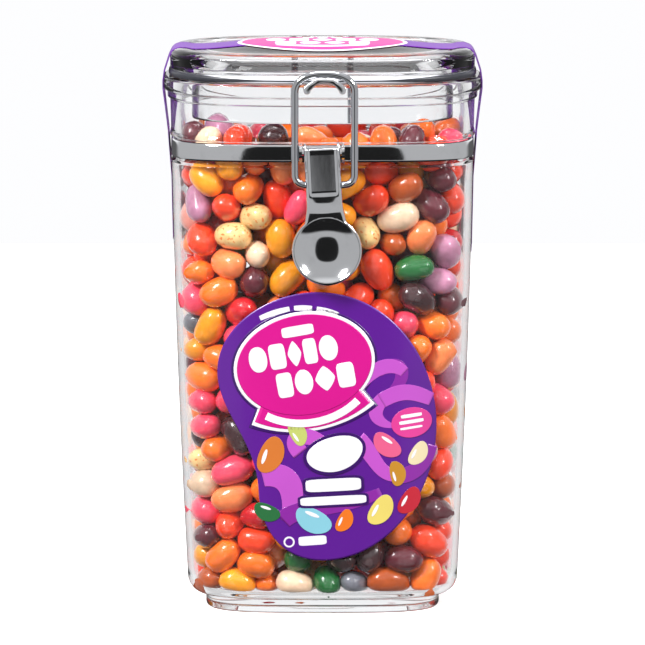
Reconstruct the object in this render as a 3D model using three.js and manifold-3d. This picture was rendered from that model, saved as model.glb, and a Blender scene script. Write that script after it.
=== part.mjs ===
// A clear clip-top jar filled with sugar-shelled jelly beans.
// Millimetres, +Z up, the front of the jar faces -Y, the origin lies at the middle of its base.

import * as THREE from 'three';
import { mergeVertices } from 'three/addons/utils/BufferGeometryUtils.js';
import Module from 'manifold-3d';

const wasm = await Module();
wasm.setup();

// ---- driving dimensions -------------------------------------------------------------------------

const GAP = 0.3; // clearance between touching pieces
const SIDES = 40; // facets round every squared-off ring
const NARROWER = 16.5; // half depth = half width minus this
const CORE = 38; // inside this half width a ring keeps the jar's proportions down to the axis

const WALL = 2.0; // moulded wall of the tub
const FOOT_HALF = 40.3; // half width of the foot
const FOOT_HEIGHT = 5.0;
const FOOT_DEEPER = 3.5; // the foot is set in less at front and back than at the sides
const HEEL_HALF = 46.6; // where the rounded heel meets the wall
const HEEL_HEIGHT = 10;
const SHOULDER_HALF = 51.6; // top of the tapered wall, just under the strap
const SHOULDER_HEIGHT = 154.4;
const WALL_STEPS = 5;
const FLOOR_HEIGHT = 4.8; // inner floor

const GROOVE_HALF = 50.6; // groove that the strap sits in
const GROOVE_TOP = 163.7;
const NECK_HALF = 52.2;
const BEAD_HALF = 53.1; // bead under the collar
const BEAD_HEIGHT = 175.8;
const COLLAR_HALF = 54.5;
const COLLAR_BOTTOM = 179.0;
const COLLAR_TOP = 183.3;
const MOUTH_HALF = 48.9;

const STRAP_HALF = 51.8;
const STRAP_BOTTOM = 156.9;
const STRAP_TOP = 162.9;

const GASKET_HALF = 52.6;
const GASKET_WIDTH = 5.2;
const LID_BOTTOM = 185.8;
const LID_HALF = 52.2;
const LID_EDGE_TOP = 190.3;
const LID_RIM_TOP = 193.0;
const LID_VALLEY = 192.5;
const LID_DOME_TOP = 194.1;
const PLUG_HALF = 45.4; // skirt that reaches into the neck
const PLUG_WALL = 2.4;
const PLUG_BOTTOM = 169.2;
const LID_CEILING = 190.4;

const HEAP_SHOULDER = 167.4; // beans against the neck
const HEAP_CROWN = 171.2; // beans inside the skirt
const HEAP_RELIEF = 1.1;

const CLASP_CENTRE = -0.2; // middle of bracket and lever across the jar
const PIVOT_Y = -(COLLAR_HALF - NARROWER + 2.7); // axis of the lever's pin, just clear of the collar
const PIVOT_Z = 161.0;
const PIN_RADIUS = 1.1;
const LEVER_LEAN = THREE.MathUtils.degToRad(-2.9);
const LEVER_HALF = 6.1;
const LEVER_FRONT = PIVOT_Y - 2.4;
const SHEET = 0.9; // chromed sheet of lever and bracket
const SPOON_RADIUS = 11.9;
const SPOON_DROP = 33.7; // spoon centre below the pin
const SPOON_DEPTH = 3.2;

const BAIL_CENTRE = 0.75;
const BAIL_HALF = 10.05;
const BAIL_FOOT_Z = 149.9;
const WIRE_RADIUS = 1.27;
const BAIL_CORNER = 3.4;
const BAIL_SPRING_Z = 181.4; // where the arch leaves the straight legs
const BAIL_RISE = 6.1;

const STRIP_HALF = 9; // seal strip, half its width
const STRIP_THICK = 0.4;
const STRIP_END_LEFT = 127.1;
const STRIP_END_RIGHT = 122.5;

// ---- colours and finishes -------------------------------------------------------------------------

const finish = (color, roughness, metalness, extra = {}) =>
  new THREE.MeshStandardMaterial({ color, roughness, metalness, ...extra });

const CLEAR = finish(0xf1f4f6, 0.05, 0, { transparent: true, opacity: 0.35 });
const CHROME = finish(0xc9ccd0, 0.12, 1);
const RUBBER = finish(0x2b2d33, 0.5, 0);
const SEAL = finish(0xa050d2, 0.4, 0);
const LABEL = finish(0x550f82, 0.4, 0);
const SWEETS = finish(0xd8642e, 0.3, 0);

// ---- shape helpers --------------------------------------------------------------------------------

// A geometry reduced to merged positions, with its faces turned outward.
function closed(geometry) {
  const bare = geometry.clone();
  bare.deleteAttribute('normal');
  bare.deleteAttribute('uv');
  const merged = mergeVertices(bare, 1e-4);
  const index = merged.index.array;
  const p = merged.attributes.position;
  const kept = [];
  let volume = 0;
  const a = new THREE.Vector3();
  const b = new THREE.Vector3();
  const c = new THREE.Vector3();
  for (let i = 0; i < index.length; i += 3) {
    const [u, v, w] = [index[i], index[i + 1], index[i + 2]];
    if (u === v || v === w || w === u) continue;
    a.fromBufferAttribute(p, u);
    b.fromBufferAttribute(p, v);
    c.fromBufferAttribute(p, w);
    volume += a.dot(b.cross(c));
    kept.push(u, v, w);
  }
  if (volume < 0) {
    for (let i = 0; i < kept.length; i += 3) {
      [kept[i], kept[i + 1]] = [kept[i + 1], kept[i]];
    }
  }
  merged.setIndex(kept);
  return merged;
}

function solid(geometry) {
  const shape = closed(geometry);
  return new wasm.Manifold(new wasm.Mesh({
    numProp: 3,
    vertProperties: new Float32Array(shape.attributes.position.array),
    triVerts: new Uint32Array(shape.index.array),
  }));
}

function surface(manifold) {
  const mesh = manifold.getMesh();
  const geometry = new THREE.BufferGeometry();
  geometry.setAttribute('position', new THREE.BufferAttribute(mesh.vertProperties, 3));
  geometry.setIndex(new THREE.BufferAttribute(mesh.triVerts, 1));
  return geometry;
}

const box = (width, depth, height, x, y, z) =>
  new THREE.BoxGeometry(width, depth, height).translate(x, y, z);

// A rod along X.
const rod = (radius, length, x, y, z) =>
  new THREE.CylinderGeometry(radius, radius, length, 16).rotateZ(Math.PI / 2).translate(x, y, z);

// How square a ring is at a height: the exponent of its superellipse.
function squareness(z) {
  const low = 3.6 + 0.6 * THREE.MathUtils.smoothstep(z, 0, 20);
  const neck = THREE.MathUtils.smoothstep(z, SHOULDER_HEIGHT, COLLAR_BOTTOM);
  return THREE.MathUtils.lerp(low, 2.8, neck);
}

// Half depth that goes with a half width at a height.
function halfDepth(halfWidth, z) {
  const deeper = FOOT_DEEPER * (1 - THREE.MathUtils.smoothstep(z, FOOT_HEIGHT, HEEL_HEIGHT));
  const inset = NARROWER - deeper;
  return halfWidth > CORE ? halfWidth - inset : halfWidth * (CORE - inset) / CORE;
}

// Turns a profile of [half width, height] pairs round the axis, then squares each ring off
// into a superellipse that is narrower from front to back.
function squaredLathe(profile, relief = () => 0) {
  const points = profile.map(([r, z]) => new THREE.Vector2(r, z));
  const geometry = new THREE.LatheGeometry(points, SIDES).rotateX(Math.PI / 2);
  const p = geometry.attributes.position;
  for (let i = 0; i < p.count; i += 1) {
    const r = Math.hypot(p.getX(i), p.getY(i));
    const z = p.getZ(i);
    if (r < 1e-6) {
      p.setXYZ(i, 0, 0, z);
      continue;
    }
    const [c, s] = [p.getX(i) / r, p.getY(i) / r];
    const power = 2 / squareness(z);
    const inset = relief(c, s, z);
    p.setXYZ(
      i,
      (r - inset) * Math.sign(c) * Math.abs(c) ** power,
      (halfDepth(r, z) - inset) * Math.sign(s) * Math.abs(s) ** power,
      z,
    );
  }
  return geometry;
}

// Half width of the tapered wall: it bows gently out towards the shoulder.
function wallHalf(z) {
  const t = (SHOULDER_HEIGHT - z) / (SHOULDER_HEIGHT - HEEL_HEIGHT);
  const drop = SHOULDER_HALF - HEEL_HALF;
  return SHOULDER_HALF - drop * (0.46 * t + 0.54 * t * t);
}

const steps = (count, from, to) =>
  Array.from({ length: count + 1 }, (_, i) => from + (to - from) * i / count);

// Points of a quarter ellipse from one corner to the other, bulging towards +r.
function heel(inset) {
  const [r0, r1] = [FOOT_HALF + 0.6 - inset, HEEL_HALF - inset];
  const [z0, z1] = [FOOT_HEIGHT + inset * 0.5, HEEL_HEIGHT];
  return steps(3, 0, Math.PI / 2).map((t) => [r0 + (r1 - r0) * Math.sin(t), z1 - (z1 - z0) * Math.cos(t)]);
}

// ---- the tub --------------------------------------------------------------------------------------

function tubProfile() {
  const wall = steps(WALL_STEPS, HEEL_HEIGHT, SHOULDER_HEIGHT).slice(1).map((z) => [wallHalf(z), z]);
  const inner = steps(WALL_STEPS, HEEL_HEIGHT, SHOULDER_HEIGHT).slice(1).reverse()
    .map((z) => [wallHalf(z) - WALL, z]);
  return [
    [0, 0],
    [FOOT_HALF - 0.8, 0],
    [FOOT_HALF, 0.8],
    [FOOT_HALF, FOOT_HEIGHT],
    ...heel(0),
    ...wall,
    [GROOVE_HALF, SHOULDER_HEIGHT + 1.2],
    [GROOVE_HALF, GROOVE_TOP - 0.4],
    [NECK_HALF - 0.1, GROOVE_TOP],
    [NECK_HALF, BEAD_HEIGHT],
    [BEAD_HALF, BEAD_HEIGHT + 0.5],
    [BEAD_HALF, COLLAR_BOTTOM - 0.6],
    [COLLAR_HALF, COLLAR_BOTTOM],
    [COLLAR_HALF, COLLAR_TOP - 0.6],
    [COLLAR_HALF - 0.6, COLLAR_TOP],
    [MOUTH_HALF, COLLAR_TOP],
    [MOUTH_HALF, GROOVE_TOP],
    ...inner,
    ...heel(WALL).reverse().slice(0, -1),
    [FOOT_HALF - WALL, FLOOR_HEIGHT],
    [0, FLOOR_HEIGHT],
  ];
}

// ---- lid, gasket and strap --------------------------------------------------------------------------

function lidProfile() {
  const e = LID_HALF;
  return [
    [0, LID_DOME_TOP],
    [e - 34, LID_DOME_TOP - 0.05],
    [e - 23, LID_DOME_TOP - 0.35],
    [e - 14, LID_VALLEY + 0.35],
    [e - 8.5, LID_VALLEY],
    [e - 4.5, LID_RIM_TOP],
    [e - 2, LID_RIM_TOP - 0.5],
    [e - 0.5, LID_RIM_TOP - 1.6],
    [e, LID_EDGE_TOP],
    [e, LID_BOTTOM],
    [PLUG_HALF, LID_BOTTOM],
    [PLUG_HALF - 0.3, PLUG_BOTTOM],
    [PLUG_HALF - PLUG_WALL, PLUG_BOTTOM],
    [PLUG_HALF - PLUG_WALL, LID_CEILING - 1.2],
    [PLUG_HALF - PLUG_WALL - 2, LID_CEILING],
    [0, LID_CEILING],
  ];
}

function ring(outer, inner, bottom, top) {
  return squaredLathe([[inner, bottom], [outer, bottom], [outer, top], [inner, top], [inner, bottom]]);
}

// ---- the beans ------------------------------------------------------------------------------------

// One heap out to its uneven outline: dents between the beans run round it in staggered rows.
function heapProfile() {
  const clear = WALL + GAP;
  const rise = HEAP_CROWN - HEAP_SHOULDER;
  return [
    [0, FLOOR_HEIGHT + GAP],
    [FOOT_HALF - WALL - 3, FLOOR_HEIGHT + GAP],
    [HEEL_HALF - clear - 2.5, FLOOR_HEIGHT + 2.6],
    ...steps(13, HEEL_HEIGHT + 1.5, SHOULDER_HEIGHT).map((z) => [wallHalf(z) - clear, z]),
    [GROOVE_HALF - clear, SHOULDER_HEIGHT + 6],
    [GROOVE_HALF - clear - 0.3, HEAP_SHOULDER - 1.5],
    [MOUTH_HALF - 4, HEAP_SHOULDER],
    [PLUG_HALF - PLUG_WALL - 2, HEAP_SHOULDER + 0.2],
    [PLUG_HALF - PLUG_WALL - 6, HEAP_SHOULDER + rise * 0.6],
    [26, HEAP_CROWN - 0.4],
    [14, HEAP_CROWN - 0.9],
    [0, HEAP_CROWN],
  ];
}

function heapRelief(c, s, z) {
  const turn = Math.atan2(s, c);
  const rows = Math.cos(z * 2 * Math.PI / 19.4);
  const beans = Math.cos(turn * 11 + Math.sin(z * 0.31));
  return HEAP_RELIEF * (0.5 + 0.5 * rows * beans);
}

// ---- lever, bail, bracket and saddle ----------------------------------------------------------------

// Outline of the lever seen from the front: a straight neck that flares into a round spoon.
function leverOutline() {
  const shape = new THREE.Shape();
  const join = THREE.MathUtils.degToRad(58);
  const top = PIVOT_Z + 1.4;
  const spoonZ = PIVOT_Z - SPOON_DROP;
  const [jx, jz] = [SPOON_RADIUS * Math.cos(join), spoonZ + SPOON_RADIUS * Math.sin(join)];
  shape.moveTo(-LEVER_HALF, top);
  shape.lineTo(-LEVER_HALF, jz + 8);
  shape.quadraticCurveTo(-LEVER_HALF, jz + 3, -jx, jz);
  shape.absarc(0, spoonZ, SPOON_RADIUS, Math.PI - join, join, false);
  shape.quadraticCurveTo(LEVER_HALF, jz + 3, LEVER_HALF, jz + 8);
  shape.lineTo(LEVER_HALF, top);
  shape.closePath();
  return shape;
}

// A flat outline in X and Z given thickness along Y, from `front` backwards.
function upright(shape, front, depth, curveSegments = 8) {
  return new THREE.ExtrudeGeometry(shape, { depth, bevelEnabled: false, curveSegments })
    .rotateX(Math.PI / 2).translate(0, front + depth, 0);
}

// Side flange of the lever, seen from the side: deep round ear at the pin, slim towards the spoon.
function flange(side) {
  const shape = new THREE.Shape();
  const back = PIVOT_Y + 2.6;
  shape.moveTo(LEVER_FRONT + 0.2, PIVOT_Z - 17);
  shape.lineTo(LEVER_FRONT + 1.8, PIVOT_Z - 17);
  shape.lineTo(PIVOT_Y + 1.7, PIVOT_Z - 13.5);
  shape.lineTo(PIVOT_Y + 1.7, PIVOT_Z - 9);
  shape.lineTo(back, PIVOT_Z - 3);
  shape.absarc(PIVOT_Y, PIVOT_Z, 2.6, 0, Math.PI * 0.72, false);
  shape.lineTo(LEVER_FRONT + 0.2, PIVOT_Z + 1.4);
  shape.closePath();
  const across = new THREE.ExtrudeGeometry(shape, { depth: SHEET, bevelEnabled: false, curveSegments: 8 });
  across.applyMatrix4(new THREE.Matrix4().makeBasis(
    new THREE.Vector3(0, 1, 0), new THREE.Vector3(0, 0, 1), new THREE.Vector3(1, 0, 0),
  ));
  return across.translate(side > 0 ? LEVER_HALF - SHEET : -LEVER_HALF, 0, 0);
}

// The spoon's bowl: a shallow round shell that opens to the front.
function bowl() {
  const rim = SPOON_RADIUS - 0.2;
  const arc = steps(5, 0, 1);
  const inside = arc.map((t) => [rim * t, SPOON_DEPTH * (1 - t * t)]);
  const outside = arc.map((t) => [rim * t, SPOON_DEPTH * (1 - t * t) + SHEET]).reverse();
  const points = [...inside, ...outside].map(([r, y]) => new THREE.Vector2(r, y));
  return new THREE.LatheGeometry(points, 28).translate(0, LEVER_FRONT, PIVOT_Z - SPOON_DROP);
}

function lever() {
  const spoonZ = PIVOT_Z - SPOON_DROP;
  const mouth = new THREE.CylinderGeometry(SPOON_RADIUS - 0.8, SPOON_RADIUS - 0.8, 6, 28)
    .translate(0, LEVER_FRONT, spoonZ);
  const panel = box(2 * LEVER_HALF - 3, 0.8, 15.4, 0, LEVER_FRONT, PIVOT_Z - 6.9);
  const leaned = solid(upright(leverOutline(), LEVER_FRONT, SHEET))
    .subtract(solid(mouth))
    .add(solid(bowl()))
    .add(solid(flange(1)))
    .add(solid(flange(-1)))
    .subtract(solid(panel));
  const tilt = new THREE.Matrix4().makeTranslation(CLASP_CENTRE, 0, PIVOT_Z)
    .multiply(new THREE.Matrix4().makeRotationY(LEVER_LEAN))
    .multiply(new THREE.Matrix4().makeTranslation(0, 0, -PIVOT_Z));
  const turned = surface(leaned).applyMatrix4(tilt);
  const hole = rod(PIN_RADIUS + 0.4, 30, CLASP_CENTRE, PIVOT_Y, PIVOT_Z);
  return surface(solid(turned).subtract(solid(hole)));
}

// Bracket on the strap: a plate, two ears that stand forward, and the pin between them.
function bracket() {
  const inner = LEVER_HALF + 0.6;
  const ear = new THREE.Shape();
  ear.moveTo(-STRAP_HALF + NARROWER - GAP, STRAP_BOTTOM + 0.3);
  ear.lineTo(PIVOT_Y + 1, STRAP_BOTTOM + 0.3);
  ear.absarc(PIVOT_Y, PIVOT_Z, 2.4, -Math.PI * 0.6, -Math.PI * 1.4, true);
  ear.lineTo(-STRAP_HALF + NARROWER - GAP, STRAP_TOP + 0.4);
  ear.closePath();
  const plateFront = -STRAP_HALF + NARROWER - GAP - SHEET;
  let whole = solid(box(2 * (inner + SHEET), SHEET, STRAP_TOP - STRAP_BOTTOM - 0.2, CLASP_CENTRE,
    plateFront + SHEET / 2, (STRAP_TOP + STRAP_BOTTOM) / 2));
  for (const side of [-1, 1]) {
    const cheek = new THREE.ExtrudeGeometry(ear, { depth: SHEET, bevelEnabled: false, curveSegments: 6 });
    cheek.applyMatrix4(new THREE.Matrix4().makeBasis(
      new THREE.Vector3(0, 1, 0), new THREE.Vector3(0, 0, 1), new THREE.Vector3(1, 0, 0),
    ));
    cheek.translate(CLASP_CENTRE + (side > 0 ? inner : -inner - SHEET), 0, 0);
    whole = whole.add(solid(cheek));
  }
  whole = whole.add(solid(rod(PIN_RADIUS, 2 * inner + SHEET, CLASP_CENTRE, PIVOT_Y, PIVOT_Z)));
  return surface(whole);
}

// A wire hoop in an upright plane: straight legs, a low arch, and feet turned in towards each other.
function hoop(centre, y, footZ, leftEnd, rightEnd) {
  const points = [];
  const put = (x, z) => points.push(new THREE.Vector3(x, y, z));
  const [left, right] = [centre - BAIL_HALF, centre + BAIL_HALF];
  put(leftEnd, footZ);
  put((leftEnd + left + BAIL_CORNER) / 2, footZ);
  for (const t of steps(3, 0, Math.PI / 2)) {
    put(left + BAIL_CORNER - BAIL_CORNER * Math.sin(t), footZ + BAIL_CORNER - BAIL_CORNER * Math.cos(t));
  }
  for (const z of steps(4, footZ + BAIL_CORNER, BAIL_SPRING_Z).slice(1, -1)) put(left, z);
  for (const t of steps(8, Math.PI, 0)) {
    const across = Math.sign(Math.cos(t)) * Math.abs(Math.cos(t)) ** 0.86;
    put(centre + BAIL_HALF * across, BAIL_SPRING_Z + BAIL_RISE * Math.sin(t) ** 0.9);
  }
  for (const z of steps(4, BAIL_SPRING_Z, footZ + BAIL_CORNER).slice(1, -1)) put(right, z);
  for (const t of steps(3, Math.PI / 2, 0)) {
    put(right - BAIL_CORNER + BAIL_CORNER * Math.sin(t), footZ + BAIL_CORNER - BAIL_CORNER * Math.cos(t));
  }
  put((rightEnd + right - BAIL_CORNER) / 2, footZ);
  put(rightEnd, footZ);
  const section = new THREE.Shape().absarc(0, 0, WIRE_RADIUS, 0, 2 * Math.PI, false);
  return new THREE.ExtrudeGeometry(section, {
    steps: 46,
    curveSegments: 4,
    bevelEnabled: false,
    extrudePath: new THREE.CatmullRomCurve3(points, false, 'centripetal'),
  });
}

function bail() {
  const shift = (PIVOT_Z - BAIL_FOOT_Z) * Math.tan(-LEVER_LEAN);
  const reach = LEVER_HALF + 0.35;
  const middle = CLASP_CENTRE + shift;
  return hoop(BAIL_CENTRE, PIVOT_Y, BAIL_FOOT_Z, middle - reach, middle + reach);
}

// Saddle under the arch: a curved band with two rounded claws and a tongue under the lid's edge.
function saddle(centre, away) {
  const top = BAIL_SPRING_Z + BAIL_RISE - WIRE_RADIUS - GAP;
  const shape = new THREE.Shape();
  shape.moveTo(-7.3, top - 3.2);
  shape.quadraticCurveTo(-4.6, top, 0, top);
  shape.quadraticCurveTo(4.6, top, 7.3, top - 3.2);
  shape.lineTo(7.0, top - 3.7);
  shape.absarc(5.9, top - 4, 1.1, 0, -Math.PI, true);
  shape.quadraticCurveTo(3.6, top - 1.5, 0, top - 1.4);
  shape.quadraticCurveTo(-3.6, top - 1.5, -4.8, top - 4);
  shape.absarc(-5.9, top - 4, 1.1, 0, -Math.PI, true);
  shape.closePath();
  const reach = -PIVOT_Y + 1.6;
  const collar = COLLAR_HALF - NARROWER;
  const band = solid(upright(shape, -reach, reach - collar - GAP, 5));
  const seat = GASKET_HALF - NARROWER + GAP;
  const tongue = solid(box(9, reach - seat - 0.2, 0.7, 0, -(reach - 0.2 + seat) / 2, LID_BOTTOM - GAP - 0.35));
  const whole = surface(band.add(tongue));
  if (away) whole.rotateZ(Math.PI);
  return whole.translate(centre, 0, 0);
}

// Barrel on the strap at the back, which the rear hoop's feet turn in.
function rearBarrel() {
  const seat = STRAP_HALF - NARROWER + GAP;
  const middle = (STRAP_TOP + STRAP_BOTTOM) / 2;
  const plate = solid(box(15, SHEET, STRAP_TOP - STRAP_BOTTOM - 0.2, 0, seat + SHEET / 2, middle));
  const web = solid(box(12, -PIVOT_Y - seat, 1.2, 0, (-PIVOT_Y + seat) / 2, middle));
  const barrel = solid(rod(PIVOT_Y - LEVER_FRONT, 12, 0, -PIVOT_Y, middle));
  return surface(plate.add(web).add(barrel));
}

// ---- print on the jar -------------------------------------------------------------------------------

// A skin that follows the tapered wall, `near` to `far` outside it.
function wallSkin(near, far) {
  const heights = steps(WALL_STEPS, HEEL_HEIGHT, SHOULDER_HEIGHT);
  return squaredLathe([
    ...heights.map((z) => [wallHalf(z) + far, z]),
    ...heights.slice().reverse().map((z) => [wallHalf(z) + near, z]),
    [wallHalf(heights[0]) + far, heights[0]],
  ]);
}

// Front label: a leaning bean-shaped blob.
function labelOutline() {
  const shape = new THREE.Shape();
  shape.moveTo(-1.9, 112.4);
  shape.bezierCurveTo(-19, 112.4, -35.9, 100.3, -35.8, 84.6);
  shape.bezierCurveTo(-35.8, 70.9, -22.5, 61.1, -21.8, 43.5);
  shape.bezierCurveTo(-21.3, 28.8, -13, 19.1, 0, 19.1);
  shape.bezierCurveTo(20, 19.1, 38.9, 39.6, 38.9, 66);
  shape.bezierCurveTo(38.9, 88.5, 24, 112.4, -1.9, 112.4);
  return shape;
}

function frontLabel() {
  const stamp = solid(upright(labelOutline(), -48, 28, 9));
  return surface(solid(wallSkin(GAP, GAP + 0.35)).intersect(stamp));
}

// Seal strip: a tape over the lid and down both sides, seen here as a band across X and Z.
function sealStrip() {
  const lift = GAP;
  const side = (z) => wallHalf(Math.min(z, SHOULDER_HEIGHT)) + lift + 0.2;
  const half = (end) => [
    [side(end), end],
    [side(140), 140],
    [side(SHOULDER_HEIGHT), SHOULDER_HEIGHT],
    [NECK_HALF + lift + 0.2, GROOVE_TOP],
    [NECK_HALF + lift + 0.4, BEAD_HEIGHT - 1],
    [COLLAR_HALF + lift, COLLAR_BOTTOM],
    [COLLAR_HALF + lift, COLLAR_TOP],
    [LID_HALF + lift + 0.2, LID_EDGE_TOP],
    [LID_HALF - 1.4, LID_RIM_TOP - 0.3 + lift],
    [LID_HALF - 4.5, LID_RIM_TOP + lift + 0.1],
    [LID_HALF - 8.5, LID_VALLEY + lift + 0.15],
    [LID_HALF - 14, LID_VALLEY + lift + 0.5],
    [LID_HALF - 23, LID_DOME_TOP + lift - 0.2],
    [LID_HALF - 34, LID_DOME_TOP + lift + 0.1],
  ];
  const left = half(STRIP_END_LEFT).map(([x, z]) => new THREE.Vector2(-x, z));
  const right = half(STRIP_END_RIGHT).map(([x, z]) => new THREE.Vector2(x, z)).reverse();
  const line = [...left, ...right];
  const outer = line.map((point, i) => {
    const before = line[Math.max(i - 1, 0)];
    const after = line[Math.min(i + 1, line.length - 1)];
    const along = after.clone().sub(before).normalize();
    return point.clone().add(new THREE.Vector2(-along.y, along.x).multiplyScalar(STRIP_THICK));
  });
  const shape = new THREE.Shape([...line, ...outer.reverse()]);
  return upright(shape, -STRIP_HALF, 2 * STRIP_HALF);
}

// ---- the jar ----------------------------------------------------------------------------------------

const group = new THREE.Group();

function place(name, geometry, material) {
  const mesh = new THREE.Mesh(closed(geometry), material);
  mesh.name = name;
  group.add(mesh);
}

place('tub', squaredLathe(tubProfile()), CLEAR);
place('lid', squaredLathe(lidProfile()), CLEAR);
place('gasket', ring(GASKET_HALF, GASKET_HALF - GASKET_WIDTH, COLLAR_TOP + GAP, LID_BOTTOM - GAP), RUBBER);
place('strap', ring(STRAP_HALF, GROOVE_HALF + GAP, STRAP_BOTTOM, STRAP_TOP), CHROME);
place('bracket', bracket(), CHROME);
place('lever', lever(), CHROME);
place('bail', bail(), CHROME);
place('saddle', saddle(BAIL_CENTRE, false), CHROME);
place('rear_barrel', rearBarrel(), CHROME);
place('rear_hoop', hoop(0, -PIVOT_Y, (STRAP_TOP + STRAP_BOTTOM) / 2, -6.35, 6.35), CHROME);
place('rear_saddle', saddle(0, true), CHROME);
place('front_label', frontLabel(), LABEL);
place('seal_strip', sealStrip(), SEAL);
place('beans', squaredLathe(heapProfile(), heapRelief), SWEETS);

export default group;
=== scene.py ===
"""Looks of a clear clip-top jar filled with jelly beans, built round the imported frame.

Every class holds one sub-assembly, with its sizes in millimetres as fields. Its methods work its surfaces
out as whole numpy arrays and dress them in a finish. The front of the jar faces -Y and it stands on z = 0.
"""

import logging
import math
from dataclasses import dataclass, field
from enum import Enum

import bpy
import numpy as np
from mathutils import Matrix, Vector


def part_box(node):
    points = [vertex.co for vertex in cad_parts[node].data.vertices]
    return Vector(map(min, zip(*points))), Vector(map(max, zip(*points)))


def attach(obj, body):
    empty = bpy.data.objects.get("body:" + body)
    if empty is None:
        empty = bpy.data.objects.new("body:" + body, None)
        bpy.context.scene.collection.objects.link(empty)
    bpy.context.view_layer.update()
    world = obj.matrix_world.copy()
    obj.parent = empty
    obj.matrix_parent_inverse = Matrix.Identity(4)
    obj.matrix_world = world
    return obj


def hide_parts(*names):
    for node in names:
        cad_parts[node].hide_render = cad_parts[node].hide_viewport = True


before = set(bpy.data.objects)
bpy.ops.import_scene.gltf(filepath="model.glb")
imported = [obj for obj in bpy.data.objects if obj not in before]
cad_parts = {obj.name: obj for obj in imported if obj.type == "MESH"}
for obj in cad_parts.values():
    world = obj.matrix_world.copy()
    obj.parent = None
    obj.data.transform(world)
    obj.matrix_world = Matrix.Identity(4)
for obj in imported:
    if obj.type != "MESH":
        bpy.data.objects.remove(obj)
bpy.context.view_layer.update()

LOG = logging.getLogger("jar")
MM = 0.001
JAR, LEVER, BAIL = "jar", "lever", "bail"
Colour = tuple[float, float, float]


def linear(red: int, green: int, blue: int) -> Colour:
    """Turns a display colour of 0 to 255 into the linear colour that shaders use.

    Args:
        red: Red of the display colour.
        green: Green of the display colour.
        blue: Blue of the display colour.

    Returns:
        The linear colour.
    """
    return tuple(((c / 255 + 0.055) / 1.055) ** 2.4 if c > 10 else c / 3295 for c in (red, green, blue))


# ---- shader maths -----------------------------------------------------------------------------------


class Signal:
    """A shader socket that takes part in Python arithmetic."""

    def __init__(self, graph: "Graph", socket: bpy.types.NodeSocket) -> None:
        """Wraps an output socket of a graph's node."""
        self.graph = graph
        self.socket = socket

    def math(self, operation: str, *others: "Signal | float") -> "Signal":
        """Adds one Math node with this signal first.

        Args:
            operation: Name of the Math node's operation.
            *others: The node's further inputs.

        Returns:
            The node's result.
        """
        return self.graph.math(operation, self, *others)

    def __add__(self, other): return self.math("ADD", other)
    def __radd__(self, other): return self.graph.math("ADD", other, self)
    def __sub__(self, other): return self.math("SUBTRACT", other)
    def __rsub__(self, other): return self.graph.math("SUBTRACT", other, self)
    def __mul__(self, other): return self.math("MULTIPLY", other)
    def __rmul__(self, other): return self.graph.math("MULTIPLY", other, self)
    def __truediv__(self, other): return self.math("DIVIDE", other)
    def __rtruediv__(self, other): return self.graph.math("DIVIDE", other, self)
    def __neg__(self): return self.graph.math("MULTIPLY", self, -1.0)

    def maximum(self, other: "Signal | float") -> "Signal":
        """The larger of this signal and another."""
        return self.math("MAXIMUM", other)

    def ramp(self, start: float, end: float) -> "Signal":
        """Rises smoothly from 0 at start to 1 at end."""
        return self.graph.node(
            "ShaderNodeMapRange", {"interpolation_type": "SMOOTHSTEP"},
            {"Value": self, "From Min": start, "From Max": end},
        )


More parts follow.
